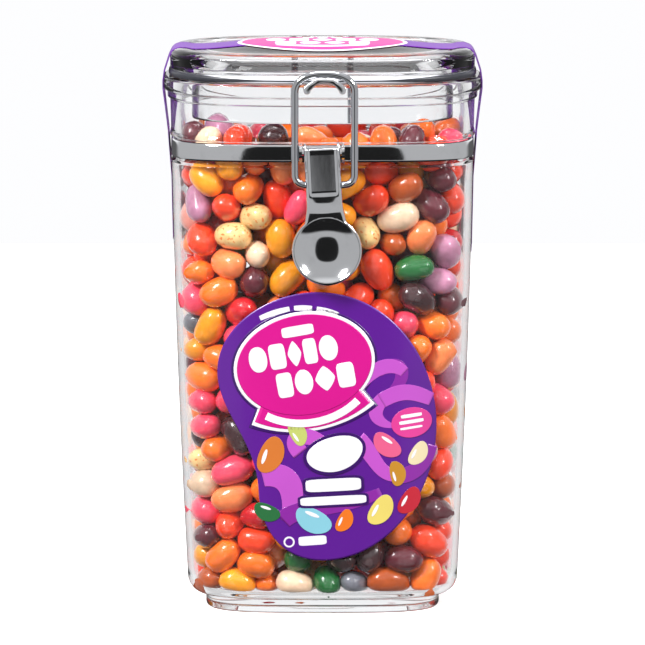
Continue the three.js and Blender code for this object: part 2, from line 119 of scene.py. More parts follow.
class Graph:
    """The node tree of a material or a world, built by calls that return signals."""

    def __init__(self, name: str, owner: bpy.types.World | None = None) -> None:
        """Makes an empty node tree, in a new material unless a world is given."""
        self.owner = owner or bpy.data.materials.new(name)
        self.owner.use_nodes = True
        self.tree = self.owner.node_tree
        self.tree.nodes.clear()

    def node(self, kind: str, settings: dict, values: dict, output: str | int = 0) -> Signal:
        """Adds a node, sets it up, then feeds its sockets.

        Args:
            kind: The node's type name.
            settings: Attributes set first; "stops" gives a ramp's positions and colours.
            values: Socket name or number to a signal or a constant.
            output: The output socket wanted.

        Returns:
            That output as a signal.
        """
        made = self.tree.nodes.new(kind)
        for name, value in settings.items():
            if name == "stops":
                self._stops(made.color_ramp, value)
            else:
                setattr(made, name, value)
        for name, value in values.items():
            target = made.inputs[name]
            if isinstance(value, Signal):
                self.tree.links.new(value.socket, target)
            elif isinstance(value, tuple) and len(value) == 3 and target.type == "RGBA":
                target.default_value = (*value, 1.0)
            else:
                target.default_value = value
        return Signal(self, made.outputs[output])

    @staticmethod
    def _stops(ramp: bpy.types.ColorRamp, stops: list[tuple[float, Colour]]) -> None:
        """Gives a colour ramp its stops."""
        while len(ramp.elements) < len(stops):
            ramp.elements.new(1.0)
        for element, (place, colour) in zip(ramp.elements, stops):
            element.position = place
            element.color = (*colour, 1.0)

    def math(self, operation: str, *terms: Signal | float) -> Signal:
        """Adds a Math node over the given terms."""
        return self.node("ShaderNodeMath", {"operation": operation}, dict(enumerate(terms)))

    def place(self) -> Signal:
        """The point's own place in metres, in the object's frame."""
        return self.node("ShaderNodeTexCoord", {}, {}, "Object")

    def axis(self, which: str) -> Signal:
        """One coordinate of the point's place, X, Y or Z."""
        return self.node("ShaderNodeSeparateXYZ", {}, {0: self.place()}, which)

    def noise(self, size_mm: float, detail: float = 2.0, stretch: Colour = (1.0, 1.0, 1.0)) -> Signal:
        """A cloudy pattern between 0 and 1.

        Args:
            size_mm: Rough size of its patches.
            detail: How many finer layers it has.
            stretch: How much finer it is along each axis.

        Returns:
            The pattern.
        """
        scaled = self.node("ShaderNodeMapping", {}, {"Vector": self.place(), "Scale": stretch})
        return self.node(
            "ShaderNodeTexNoise", {}, {"Vector": scaled, "Scale": 1 / (size_mm * MM), "Detail": detail},
        )

    def blend(self, factor: Signal | float, low: Signal | Colour, high: Signal | Colour) -> Signal:
        """A colour that goes from low to high as the factor goes from 0 to 1."""
        made = self.tree.nodes.new("ShaderNodeMix")
        made.data_type = "RGBA"
        sockets = [made.inputs[i] for i in (0, 6, 7)]
        for target, value in zip(sockets, (factor, low, high)):
            if isinstance(value, Signal):
                self.tree.links.new(value.socket, target)
            else:
                target.default_value = (*value, 1.0) if isinstance(value, tuple) else value
        return Signal(self, made.outputs[2])

    def bump(self, height: Signal, depth_mm: float, strength: float = 1.0) -> Signal:
        """A bump normal from a height pattern.

        Args:
            height: The height, 0 to 1.
            depth_mm: What a height of 1 stands for.
            strength: Share of the bump that shows.

        Returns:
            The normal.
        """
        return self.node(
            "ShaderNodeBump", {}, {"Height": height, "Distance": depth_mm * MM, "Strength": strength},
            "Normal",
        )

    def principled(self, values: dict) -> Signal:
        """A Principled shader with the given sockets."""
        return self.node("ShaderNodeBsdfPrincipled", {}, values)

    def finish(self, shader: Signal) -> bpy.types.Material:
        """Connects the shader to the material's output and returns the material."""
        out = self.tree.nodes.new("ShaderNodeOutputMaterial")
        self.tree.links.new(shader.socket, out.inputs["Surface"])
        return self.owner


# ---- finishes ---------------------------------------------------------------------------------------


@dataclass(frozen=True)
class ClearPlastic:
    """Polished clear moulded plastic that lets lamps shine through."""

    name: str = "clear_plastic"
    tint: Colour = (0.985, 0.989, 0.992)
    bend: float = 1.5
    glare: float = 0.35
    scuff: float = 0.02
    wave_mm: float = 0.05

    def make(self) -> bpy.types.Material:
        """Builds the material: glass, with a plain see-through stand-in for rays from lamps."""
        g = Graph(self.name)
        scuffs = g.noise(1.4, 4.0).ramp(0.62, 0.8)
        wave = g.noise(26.0, 1.0, (1.0, 1.0, 0.6))
        glass = g.principled({
            "Base Color": self.tint,
            "Roughness": 0.002 + scuffs * self.scuff,
            "IOR": self.bend,
            "Transmission Weight": 1.0,
            "Specular Tint": (self.glare, self.glare, self.glare),
            "Normal": g.bump(wave, self.wave_mm),
        })
        clear = g.node("ShaderNodeBsdfTransparent", {}, {"Color": (0.97, 0.975, 0.98)})
        path = g.node("ShaderNodeLightPath", {}, {}, "Is Shadow Ray")
        soft = Signal(g, path.socket.node.outputs["Is Diffuse Ray"])
        return g.finish(g.node("ShaderNodeMixShader", {}, {0: path.maximum(soft), 1: glass, 2: clear}))


@dataclass(frozen=True)
class Chrome:
    """Bright plating with faint drawing marks and a few dull spots."""

    name: str = "chrome"
    tone: Colour = (0.80, 0.81, 0.83)
    along: Colour = (1.0, 1.0, 1.0)
    polish: float = 0.05

    def make(self) -> bpy.types.Material:
        """Builds the material: metal whose roughness and relief follow fine marks."""
        g = Graph(self.name)
        marks = g.noise(0.9, 3.0, self.along)
        dull = g.noise(7.0, 3.0).ramp(0.55, 0.8)
        return g.finish(g.principled({
            "Base Color": g.blend(dull, self.tone, tuple(0.9 * c for c in self.tone)),
            "Metallic": 1.0,
            "Roughness": self.polish + marks * 0.04 + dull * 0.05,
            "Normal": g.bump(marks, 0.004),
        }))


@dataclass(frozen=True)
class SealingRubber:
    """Soft ring between lid and collar."""

    name: str = "gasket_rubber"
    middle: float = 184.55

    def make(self) -> bpy.types.Material:
        """Builds the material: painted reflection, dark towards the two ends, pale at front and back but for
        its dark middle line.
        """
        g = Graph(self.name)
        bloom = g.noise(1.2, 4.0)
        # Painted reflection: the ends and a middle line are dark and the front and back pale, as the ring
        # would mirror dark and bright surroundings.
        end = g.axis("X").math("ABSOLUTE").ramp(0.018, 0.050)
        off = (g.axis("Z") - self.middle * MM).math("ABSOLUTE") / MM
        line = 1 - (off - end * 1.2).ramp(0.16, 0.34)
        dark = g.blend(bloom, (0.010, 0.011, 0.016), (0.030, 0.031, 0.040))
        painted_pale_reflection = g.blend(bloom, (0.56, 0.57, 0.62), (0.66, 0.67, 0.71))
        return g.finish(g.principled({
            "Base Color": g.blend(line, painted_pale_reflection, dark),
            "Roughness": 0.28 + bloom * 0.2,
            "Normal": g.bump(bloom, 0.02),
        }))


@dataclass(frozen=True)
class BeanShell:
    """Glossy sugar shell of one flavour, mottled and a little translucent."""

    name: str
    hue: Colour
    speckle: Colour | None = None
    mottle: float = 0.35

    def make(self) -> bpy.types.Material:
        """Builds the material: the shell's colour varies from bean to bean and in small clouds."""
        g = Graph(f"shell_{self.name}")
        tone = g.node("ShaderNodeAttribute", {"attribute_name": "tone"}, {}, "Fac")
        clouds = g.noise(2.6, 3.0).ramp(0.3, 0.72)
        grain = g.noise(0.55, 2.0)
        pale = tuple(min(1.0, c * 1.15 + 0.015) for c in self.hue)
        deep = tuple(c * 0.66 for c in self.hue)
        colour = g.blend(clouds * self.mottle + tone * (1 - self.mottle), deep, pale)
        if self.speckle is not None:
            dots = g.noise(1.1, 1.0).ramp(0.6, 0.68)
            colour = g.blend(dots * 0.85, colour, self.speckle)
        return g.finish(g.principled({
            "Base Color": colour,
            "Roughness": 0.09 + grain * 0.08,
            "IOR": 1.45,
            "Subsurface Weight": 0.12,
            "Subsurface Radius": (1.0, 0.7, 0.5),
            "Subsurface Scale": 1.6 * MM,
            "Coat Weight": 1.0,
            "Coat Roughness": 0.05,
            "Normal": g.bump(clouds * 0.6 + grain * 0.4, 0.07),
        }))


@dataclass(frozen=True)
class PrintedFilm:
    """Printed plastic film whose inks come from the piece's own colour attribute."""

    name: str
    sheen: float = 0.26
    gloss: float = 0.5
    coat: float = 0.25

    def make(self) -> bpy.types.Material:
        """Builds the material: ink with a fine screen and a satin lacquer."""
        g = Graph(self.name)
        ink = g.node("ShaderNodeAttribute", {"attribute_name": "ink"}, {}, "Color")
        grain = g.noise(0.6, 3.0)
        patch = g.noise(14.0, 2.0)
        worn = g.node("ShaderNodeHueSaturation", {}, {"Color": ink, "Value": 0.93 + patch * 0.14})
        return g.finish(g.principled({
            "Base Color": worn,
            "Roughness": self.sheen + grain * 0.12,
            "Specular IOR Level": self.gloss,
            "Coat Weight": self.coat,
            "Coat Roughness": 0.12,
            "Normal": g.bump(grain, 0.01),
        }))


@dataclass(frozen=True)
class StudioPaper:
    """Pale seamless floor."""

    name: str = "studio_paper"
    tone: Colour = (0.93, 0.93, 0.935)
    glow: float = 0.3

    def make(self) -> bpy.types.Material:
        """Builds the material: matt, near white, lifted a little so that it shows no hard shadow."""
        g = Graph(self.name)
        grain = g.noise(1.5, 2.0)
        paper = g.principled({
            "Base Color": self.tone, "Roughness": 0.65 + grain * 0.1,
            "Emission Color": (1.0, 1.0, 1.0), "Emission Strength": self.glow,
        })
        seen = g.node("ShaderNodeLightPath", {}, {}, "Is Camera Ray")
        return g.finish(g.node("ShaderNodeMixShader", {}, {
            0: seen, 1: g.node("ShaderNodeBsdfTransparent", {}, {"Color": (1.0, 1.0, 1.0)}), 2: paper}))


# ---- surfaces ---------------------------------------------------------------------------------------


def smooth(x: np.ndarray | float, start: float, end: float) -> np.ndarray:
    """Eases from 0 at start to 1 at end: 3t^2 - 2t^3 of the clamped share t."""
    t = np.clip((np.asarray(x, float) - start) / (end - start), 0, 1)
    return t * t * (3 - 2 * t)


def fillet(corners: list[tuple[float, float, float]], arc_steps: int = 5) -> np.ndarray:
    """Rounds the corners of an open line with arcs that touch both of their edges.

    An arc of radius r at a corner whose edges meet at an angle starts r / tan(half the angle) from it.

    Args:
        corners: Each corner's two coordinates and radius.
        arc_steps: Points to an arc, less one.

    Returns:
        The rounded line's points, in order.
    """
    points = np.array([c[:2] for c in corners], float)
    line = [points[:1]]
    for i in range(1, len(corners) - 1):
        here, radius = points[i], corners[i][2]
        back, ahead = points[i - 1] - here, points[i + 1] - here
        long_back, long_ahead = np.linalg.norm(back), np.linalg.norm(ahead)
        back, ahead = back / long_back, ahead / long_ahead
        half = math.acos(max(-1.0, min(1.0, float(back @ ahead)))) / 2
        if radius <= 0 or half > math.pi / 2 - 0.01:
            line.append(here[None])
            continue
        reach = min(radius / math.tan(half), 0.49 * min(long_back, long_ahead))
        radius = reach * math.tan(half)
        middle = here + (back + ahead) / np.linalg.norm(back + ahead) * radius / math.sin(half)
        start, end = here + back * reach - middle, here + ahead * reach - middle
        turn = math.pi - 2 * half
        t = np.linspace(0, 1, arc_steps + 1)[:, None]
        line.append(middle + (np.sin((1 - t) * turn) * start + np.sin(t * turn) * end) / math.sin(turn))
    line.append(points[-1:])
    return np.concatenate(line)


def refine(line: np.ndarray, longest: float) -> np.ndarray:
    """Adds points on a line so that no step is longer than the given length."""
    parts = []
    for a, b in zip(line[:-1], line[1:]):
        count = max(1, int(math.ceil(np.linalg.norm(b - a) / longest)))
        parts.append(a + (b - a) * np.arange(count)[:, None] / count)
    return np.concatenate(parts + [line[-1:]])


def make_mesh(name: str, vertices: np.ndarray, faces: np.ndarray | list) -> bpy.types.Object:
    """Makes a smooth-shaded object from vertices in millimetres.

    Args:
        name: The object's name.
        vertices: Rows of x, y and z.
        faces: Rows of vertex numbers, or a list of such rows.

    Returns:
        The object, linked to the scene.
    """
    mesh = bpy.data.meshes.new(name)
    rows = faces.tolist() if isinstance(faces, np.ndarray) else faces
    mesh.from_pydata((np.asarray(vertices, float).reshape(-1, 3) * MM).tolist(), [], rows)
    mesh.polygons.foreach_set("use_smooth", np.ones(len(mesh.polygons), bool))
    mesh.validate()
    made = bpy.data.objects.new(name, mesh)
    bpy.context.scene.collection.objects.link(made)
    return made


def grid_faces(rows: int, columns: int, closed_rows: bool, closed_columns: bool) -> np.ndarray:
    """Quads of a grid of points numbered row by row.

    Args:
        rows: Points along the first direction.
        columns: Points along the second.
        closed_rows: Whether the last row joins the first.
        closed_columns: Whether the last column joins the first.

    Returns:
        One row of four vertex numbers for each face.
    """
    i = np.arange(rows if closed_rows else rows - 1)[:, None]
    j = np.arange(columns if closed_columns else columns - 1)[None]
    i2, j2 = (i + 1) % rows, (j + 1) % columns
    quads = np.stack(np.broadcast_arrays(i * columns + j, i * columns + j2, i2 * columns + j2,
                                         i2 * columns + j), -1)
    return quads.reshape(-1, 4)


def capped_faces(rings: int, sides: int) -> list:
    """Faces of a closed stack of rings whose first and last rings are single poles.

    Args:
        rings: Number of full rings between the two poles.
        sides: Points in a ring.

    Returns:
        Quads between the rings and triangle fans at the poles, which are the last two vertices.
    """
    quads = grid_faces(rings, sides, False, True).tolist()
    j = np.arange(sides)
    j2 = (j + 1) % sides
    first, last = rings * sides, rings * sides + 1
    top = (rings - 1) * sides
    fans = np.stack([np.full(sides, first), j2, j], 1).tolist()
    fans += np.stack([np.full(sides, last), top + j, top + j2], 1).tolist()
    return quads + fans


def outward(piece: bpy.types.Object) -> bpy.types.Object:
    """Turns a closed piece's faces outward if the volume they enclose comes out negative."""
    mesh = piece.data
    mesh.calc_loop_triangles()
    corners = np.empty(len(mesh.loop_triangles) * 3, np.int32)
    mesh.loop_triangles.foreach_get("vertices", corners)
    points = np.empty(len(mesh.vertices) * 3)
    mesh.vertices.foreach_get("co", points)
    a, b, c = points.reshape(-1, 3)[corners.reshape(-1, 3)].transpose(1, 0, 2)
    if np.einsum("ij,ij->", a, np.cross(b, c)) < 0:
        mesh.flip_normals()
    return piece


TUBE_END = np.array([[0.10, 0.45], [0.05, 0.88]])
TUBE_POLE = 0.03


def tube(name: str, path: np.ndarray, radius: float, sides: int = 20) -> bpy.types.Object:
    """Carries a circle along a path that lies in an upright plane square to Y.

    Each ring is its centre plus r cos(s) times the in-plane normal plus r sin(s) times Y. TUBE_END lists,
    from the tip inwards, how far each rounding ring lies beyond the path's end and how large it is.

    Args:
        name: The piece's name.
        path: Rows of x, y and z.
        radius: Radius of the wire.
        sides: Points round it.

    Returns:
        The closed tube.
    """
    tangent = np.gradient(path, axis=0)
    tangent /= np.linalg.norm(tangent, axis=1, keepdims=True)
    beyond, share = TUBE_END.T
    tips = beyond[:, None] * radius
    centres = np.concatenate([path[:1] - tips * tangent[:1], path, path[-1:] + tips[::-1] * tangent[-1:]])
    along = np.concatenate([np.repeat(tangent[:1], 2, 0), tangent, np.repeat(tangent[-1:], 2, 0)])
    size = np.concatenate([share, np.ones(len(path)), share[::-1]]) * radius
    side = np.cross(along, [0.0, 1.0, 0.0])
    s = np.linspace(0, 2 * np.pi, sides, endpoint=False)[None, :, None]
    rings = (centres[:, None] + size[:, None, None]
             * (np.cos(s) * side[:, None] + np.sin(s) * np.array([0.0, 1.0, 0.0])))
    pole = TUBE_POLE * radius
    poles = np.stack([centres[0] - along[0] * pole, centres[-1] + along[-1] * pole])
    vertices = np.concatenate([rings.reshape(-1, 3), poles])
    return outward(make_mesh(name, vertices, capped_faces(len(centres), sides)))


def prism(name: str, outline: np.ndarray, front: float, back: float, edge: float) -> bpy.types.Object:
    """Gives a flat outline in X and Z a thickness along Y, with bevelled edges.

    Args:
        name: The piece's name.
        outline: Rows of x and z, in order round the shape.
        front: The y of the front face.
        back: The y of the back face.
        edge: Width of the bevel.

    Returns:
        The closed prism.
    """
    count = len(outline)
    flat = np.insert(outline, 1, 0.0, axis=1)
    vertices = np.concatenate([flat + [0, front, 0], flat + [0, back, 0]])
    ring = np.arange(count)
    after = (ring + 1) % count
    sides = np.stack([ring, after, after + count, ring + count], 1).tolist()
    made = outward(make_mesh(name, vertices, [ring[::-1].tolist(), (ring + count).tolist(), *sides]))
    if edge > 0:
        bevel = made.modifiers.new("edge", "BEVEL")
        bevel.width, bevel.segments = edge * MM, 2
        bevel.limit_method, bevel.angle_limit = "ANGLE", math.radians(50)
        bevel.harden_normals = False
    return made


def dress(piece: bpy.types.Object, material: bpy.types.Material, body: str, slot: str, *nodes: str) -> None:
    """Gives a piece its material and the body it rides on, and hides the nodes it stands for.

    Args:
        piece: The finished piece.
        material: Its material.
        body: The body it moves with.
        slot: Not used.
        *nodes: Frame nodes that the piece replaces.
    """
    piece.data.materials.clear()
    piece.data.materials.append(material)
    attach(piece, body)
    if nodes:
        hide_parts(*nodes)
    LOG.info("%s: %d faces on %s", piece.name, len(piece.data.polygons), body)


# ---- the jar's own form -----------------------------------------------------------------------------


@dataclass(frozen=True)
class JarForm:
    """The squared-off section that the tub and all that goes round it share. Sizes in millimetres."""

    collar_half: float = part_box("tub")[1][0] / MM
    narrower: float = (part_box("tub")[1][0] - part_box("tub")[1][1]) / MM
    core: float = 38.0
    wall: float = 2.0
    foot_half: float = 40.3
    foot_height: float = 5.0
    foot_deeper: float = 3.5
    heel_half: float = 46.6
    heel_height: float = 10.0
    shoulder_half: float = 51.6
    shoulder_height: float = 154.4
    floor_height: float = 4.8
    groove_half: float = 50.6
    groove_top: float = 163.7
    neck_half: float = 52.2
    bead_half: float = 53.1
    bead_height: float = 175.8
    collar_bottom: float = 179.0
    collar_top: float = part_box("tub")[1][2] / MM
    mouth_half: float = 48.9

    def squareness(self, z: np.ndarray) -> np.ndarray:
        """Exponent of the superellipse at a height: squarer on the body, rounder at collar and lid."""
        low = 3.6 + 0.6 * smooth(z, 0, 20)
        return low + (2.8 - low) * smooth(z, self.shoulder_height, self.collar_bottom)

    def half_depth(self, half: np.ndarray, z: np.ndarray | float) -> np.ndarray:
        """Half depth that goes with a half width: a fixed amount less, and in proportion near the axis.

        The foot is set in less at front and back, so the amount is smaller down there.
        """
        half = np.asarray(half, float)
        inset = self.narrower - self.foot_deeper * (1 - smooth(z, self.foot_height, self.heel_height))
        return np.where(half > self.core, half - inset, half * (self.core - inset) / self.core)

    def wall_half(self, z: np.ndarray) -> np.ndarray:
        """Half width of the tapered wall, which bows gently out towards the shoulder."""
        t = (self.shoulder_height - np.asarray(z, float)) / (self.shoulder_height - self.heel_height)
        return self.shoulder_half - (self.shoulder_half - self.heel_half) * (0.46 * t + 0.54 * t * t)

    def section(self, half: np.ndarray, z: np.ndarray, sides: int) -> np.ndarray:
        """Squared rings at the given half widths and heights.

        A point in direction s lies at (|cos s / a|^n + |sin s / b|^n)^(-1/n) from the axis.

        Args:
            half: Half width a of each ring.
            z: Height of each ring.
            sides: Points in a ring.

        Returns:
            An array of rings, points and x, y, z.
        """
        s = (np.arange(sides) + 0.5) * 2 * np.pi / sides
        a = np.maximum(np.asarray(half, float), 1e-6)[:, None]
        b = self.half_depth(a, np.asarray(z, float)[:, None])
        n = self.squareness(np.asarray(z, float))[:, None]
        reach = (np.abs(np.cos(s) / a) ** n + np.abs(np.sin(s) / b) ** n) ** (-1 / n)
        height = np.broadcast_to(np.asarray(z, float)[:, None], reach.shape)
        return np.stack([reach * np.cos(s), reach * np.sin(s), height], -1)

    def gauge(self, x: np.ndarray, y: np.ndarray, half: np.ndarray, z: float) -> np.ndarray:
        """How far out a point is at a height: 1 on the ring of that half width, less inside it."""
        b, power = self.half_depth(half, z), self.squareness(z)
        return (np.abs(x / half) ** power + np.abs(y / b) ** power) ** (1 / power)

    def front(self, x: np.ndarray, z: np.ndarray, out: float) -> np.ndarray:
        """The y of the front wall at a place across and up, a little outside the plastic."""
        a = self.wall_half(z) + out
        n = self.squareness(z)
        return -(a - self.narrower) * (1 - np.abs(x / a) ** n) ** (1 / n)

    def side(self, y: np.ndarray, half: np.ndarray, z: np.ndarray) -> np.ndarray:
        """The x of the ring of that half width at a place y from front to back."""
        n = self.squareness(z)
        return half * (1 - np.abs(y / self.half_depth(half, z)) ** n) ** (1 / n)

    def heel(self, inset: float, lift: float, count: int = 9) -> np.ndarray:
        """Quarter ellipse from the foot to the wall, `inset` inside the outer skin."""
        t = np.linspace(0, np.pi / 2, count)
        r0, r1 = self.foot_half + 0.6 - inset, self.heel_half - inset
        z0, z1 = self.foot_height + lift, self.heel_height
        return np.stack([r0 + (r1 - r0) * np.sin(t), z1 - (z1 - z0) * np.cos(t)], 1)


FORM = JarForm()


@dataclass
class Tub:
    """The clear tub: foot, tapered wall, strap groove, bead and collar, hollow inside."""

    sides: int = 224
    recess: float = 2.4
    wall_steps: int = 36

    def profile(self) -> np.ndarray:
        """The wall's closed outline as half width and height, from the middle of the base round to it."""
        f = FORM
        z = np.linspace(f.heel_height, f.shoulder_height - 0.4, self.wall_steps)[1:]
        outer = np.stack([f.wall_half(z), z], 1)
        inner = np.stack([f.wall_half(z) - f.wall, z], 1)[::-1]
        base = fillet([
            (0, self.recess, 0), (f.foot_half - 2.6, self.recess, 0.8), (f.foot_half - 2.0, 0, 0.6),
            (f.foot_half, 0, 0.7), (f.foot_half, f.foot_height, 0.5),
            (f.foot_half + 1.2, f.foot_height + 0.1, 0),
        ])
        neck = fillet([
            (f.shoulder_half, f.shoulder_height - 0.4, 0), (f.shoulder_half, f.shoulder_height + 0.5, 0.5),
            (f.groove_half, f.shoulder_height + 1.3, 0.4), (f.groove_half, f.groove_top - 0.5, 0.35),
            (f.neck_half + 0.1, f.groove_top, 0.35), (f.neck_half - 0.35, f.groove_top + 1.6, 0.8),
            (f.neck_half, f.bead_height, 0.5), (f.bead_half, f.bead_height + 0.5, 0.35),
            (f.bead_half, f.collar_bottom - 0.5, 0.5), (f.collar_half, f.collar_bottom, 0.6),
            (f.collar_half, f.collar_top, 0.9), (f.mouth_half, f.collar_top, 0.6),
            (f.mouth_half, f.groove_top - 2, 4.0), (f.shoulder_half - f.wall, f.shoulder_height - 0.4, 0),
        ])
        low = f.heel(f.wall, f.wall / 2)[::-1]
        floor = np.array([[x, f.floor_height] for x in (f.foot_half - f.wall - 2, 20.0, 0.0)])
        parts = [base[:-1], f.heel(0, 0), outer, neck[1:-1], inner, low[1:], floor]
        return refine(np.concatenate(parts), 6.0)

    def build(self, material: bpy.types.Material) -> None:
        """Turns the outline into squared rings with a pole at each end."""
        line = self.profile()
        rings = FORM.section(line[1:-1, 0], line[1:-1, 1], self.sides)
        poles = np.array([[0, 0, line[0, 1]], [0, 0, line[-1, 1]]])
        vertices = np.concatenate([rings.reshape(-1, 3), poles])
        piece = outward(make_mesh("clear_tub", vertices, capped_faces(len(rings), self.sides)))
        dress(piece, material, JAR, "clear_plastic", "tub")


@dataclass
class Lid:
    """The clear lid: rim, valley and low dome on top, and a skirt that reaches into the neck."""

    half: float = 52.2
    bottom: float = 185.8
    edge_top: float = 190.3
    rim_top: float = 193.0
    valley: float = 192.5
    dome_top: float = 194.1
    plug_half: float = 45.4
    plug_wall: float = 2.4
    plug_bottom: float = 169.2
    ceiling: float = 190.4
    sides: int = 224

    def top_height(self, distance: np.ndarray) -> np.ndarray:
        """Height of the top at a distance in from the edge: rim, shallow valley, then the dome."""
        d = np.asarray(distance, float)
        edge = self.edge_top + (self.rim_top - self.edge_top) * np.sqrt(
            np.clip(1 - (1 - np.clip(d / 3.4, 0, 1)) ** 2.4, 0, 1))
        dip = (self.rim_top - self.valley) * smooth(d, 4.6, 7.6)
        dome = (self.dome_top - self.valley) * smooth(d, 8.5, 31)
        return edge - dip + dome

    def height(self, x: np.ndarray, y: np.ndarray) -> np.ndarray:
        """Height of the top at a place: halves the range of rings until one passes through it."""
        low, high = np.full(np.shape(x), 0.5), np.full(np.shape(x), self.half + 4.0)
        for _ in range(30):
            middle = (low + high) / 2
            inside = FORM.gauge(x, y, middle, self.rim_top) < 1
            low, high = np.where(inside, low, middle), np.where(inside, middle, high)
        return self.top_height(self.half - low)

    def profile(self) -> np.ndarray:
        """The lid's outline from the middle of its top, over the edge and skirt, to its ceiling."""
        d = np.concatenate([np.linspace(self.half, 9, 22), np.linspace(8.6, 3.6, 14),
                            3.4 * (1 - np.cos(np.linspace(np.pi / 2, 0.12, 10)))])
        top = np.stack([self.half - d, self.top_height(d)], 1)
        inner = self.plug_half - self.plug_wall
        under = fillet([
            (self.half, self.edge_top - 0.4, 0), (self.half, self.bottom, 0.7),
            (self.plug_half + 2.2, self.bottom, 0.5), (self.plug_half, self.bottom - 1.4, 0.8),
            (self.plug_half - 0.3, self.plug_bottom, 0.7), (inner + 0.3, self.plug_bottom, 0.7),
            (inner, self.bottom + 1.0, 1.5), (inner - 2.4, self.ceiling, 2.0), (20, self.ceiling, 0),
            (0, self.ceiling, 0),
        ])
        return refine(np.concatenate([top, under]), 4.0)

    def build(self, material: bpy.types.Material) -> None:
        """Turns the outline into squared rings with a pole above and below."""
        line = self.profile()
        rings = FORM.section(line[1:-1, 0], line[1:-1, 1], self.sides)
        poles = np.array([[0, 0, line[0, 1]], [0, 0, line[-1, 1]]])
        vertices = np.concatenate([rings.reshape(-1, 3), poles])
        piece = outward(make_mesh("clear_lid", vertices, capped_faces(len(rings), self.sides)))
        dress(piece, material, JAR, "clear_plastic", "lid")


@dataclass
class Bands:
    """The rings round the jar: the soft gasket under the lid and the chromed strap in its groove."""

    gasket_half: float = 52.7
    gasket_width: float = 5.2
    gasket_gap: float = 0.12
    strap_half: float = 51.8
    strap_thick: float = 0.9
    sides: int = 224

    def loop(self, name: str, line: np.ndarray) -> bpy.types.Object:
        """A closed ring whose section is the given closed line of half width and height."""
        rings = FORM.section(line[:, 0], line[:, 1], self.sides)
        faces = grid_faces(len(line), self.sides, True, True)
        return outward(make_mesh(name, rings, faces))

    def lobed(self) -> np.ndarray:
        """Section of the gasket: a flat ring whose outer edge is a soft bead."""
        low, high = FORM.collar_top + self.gasket_gap, Lid().bottom - self.gasket_gap
        outer, inner = self.gasket_half, self.gasket_half - self.gasket_width
        return fillet([
            (inner + 1, low, 0), (outer, low, 0.9), (outer, high, 0.9), (inner, high, 0.2),
            (inner, low, 0.2), (inner + 1, low, 0),
        ], 6)[:-1]

    def band(self) -> np.ndarray:
        """Section of the strap: thin sheet with rounded edges and a faint crown."""
        low, high = (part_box("strap")[i][2] / MM for i in (0, 1))
        z = np.linspace(low, high, 9)
        crown = 0.12 * (1 - ((z - (low + high) / 2) / ((high - low) / 2)) ** 4)
        outer = np.stack([self.strap_half - 0.12 + crown, z], 1)
        inner = np.stack([np.full(3, self.strap_half - self.strap_thick), np.linspace(high, low, 3)], 1)
        ends = 0.2 * np.array([[0, 1], [0, -1]])
        inner[0] -= ends[0]
        inner[-1] -= ends[1]
        return np.concatenate([outer, inner])

    def build(self, rubber: bpy.types.Material, chrome: bpy.types.Material) -> None:
        """Makes both rings."""
        dress(self.loop("soft_gasket", self.lobed()), rubber, JAR, "gasket_rubber", "gasket")
        dress(self.loop("steel_strap", self.band()), chrome, JAR, "chrome_sheet", "strap")


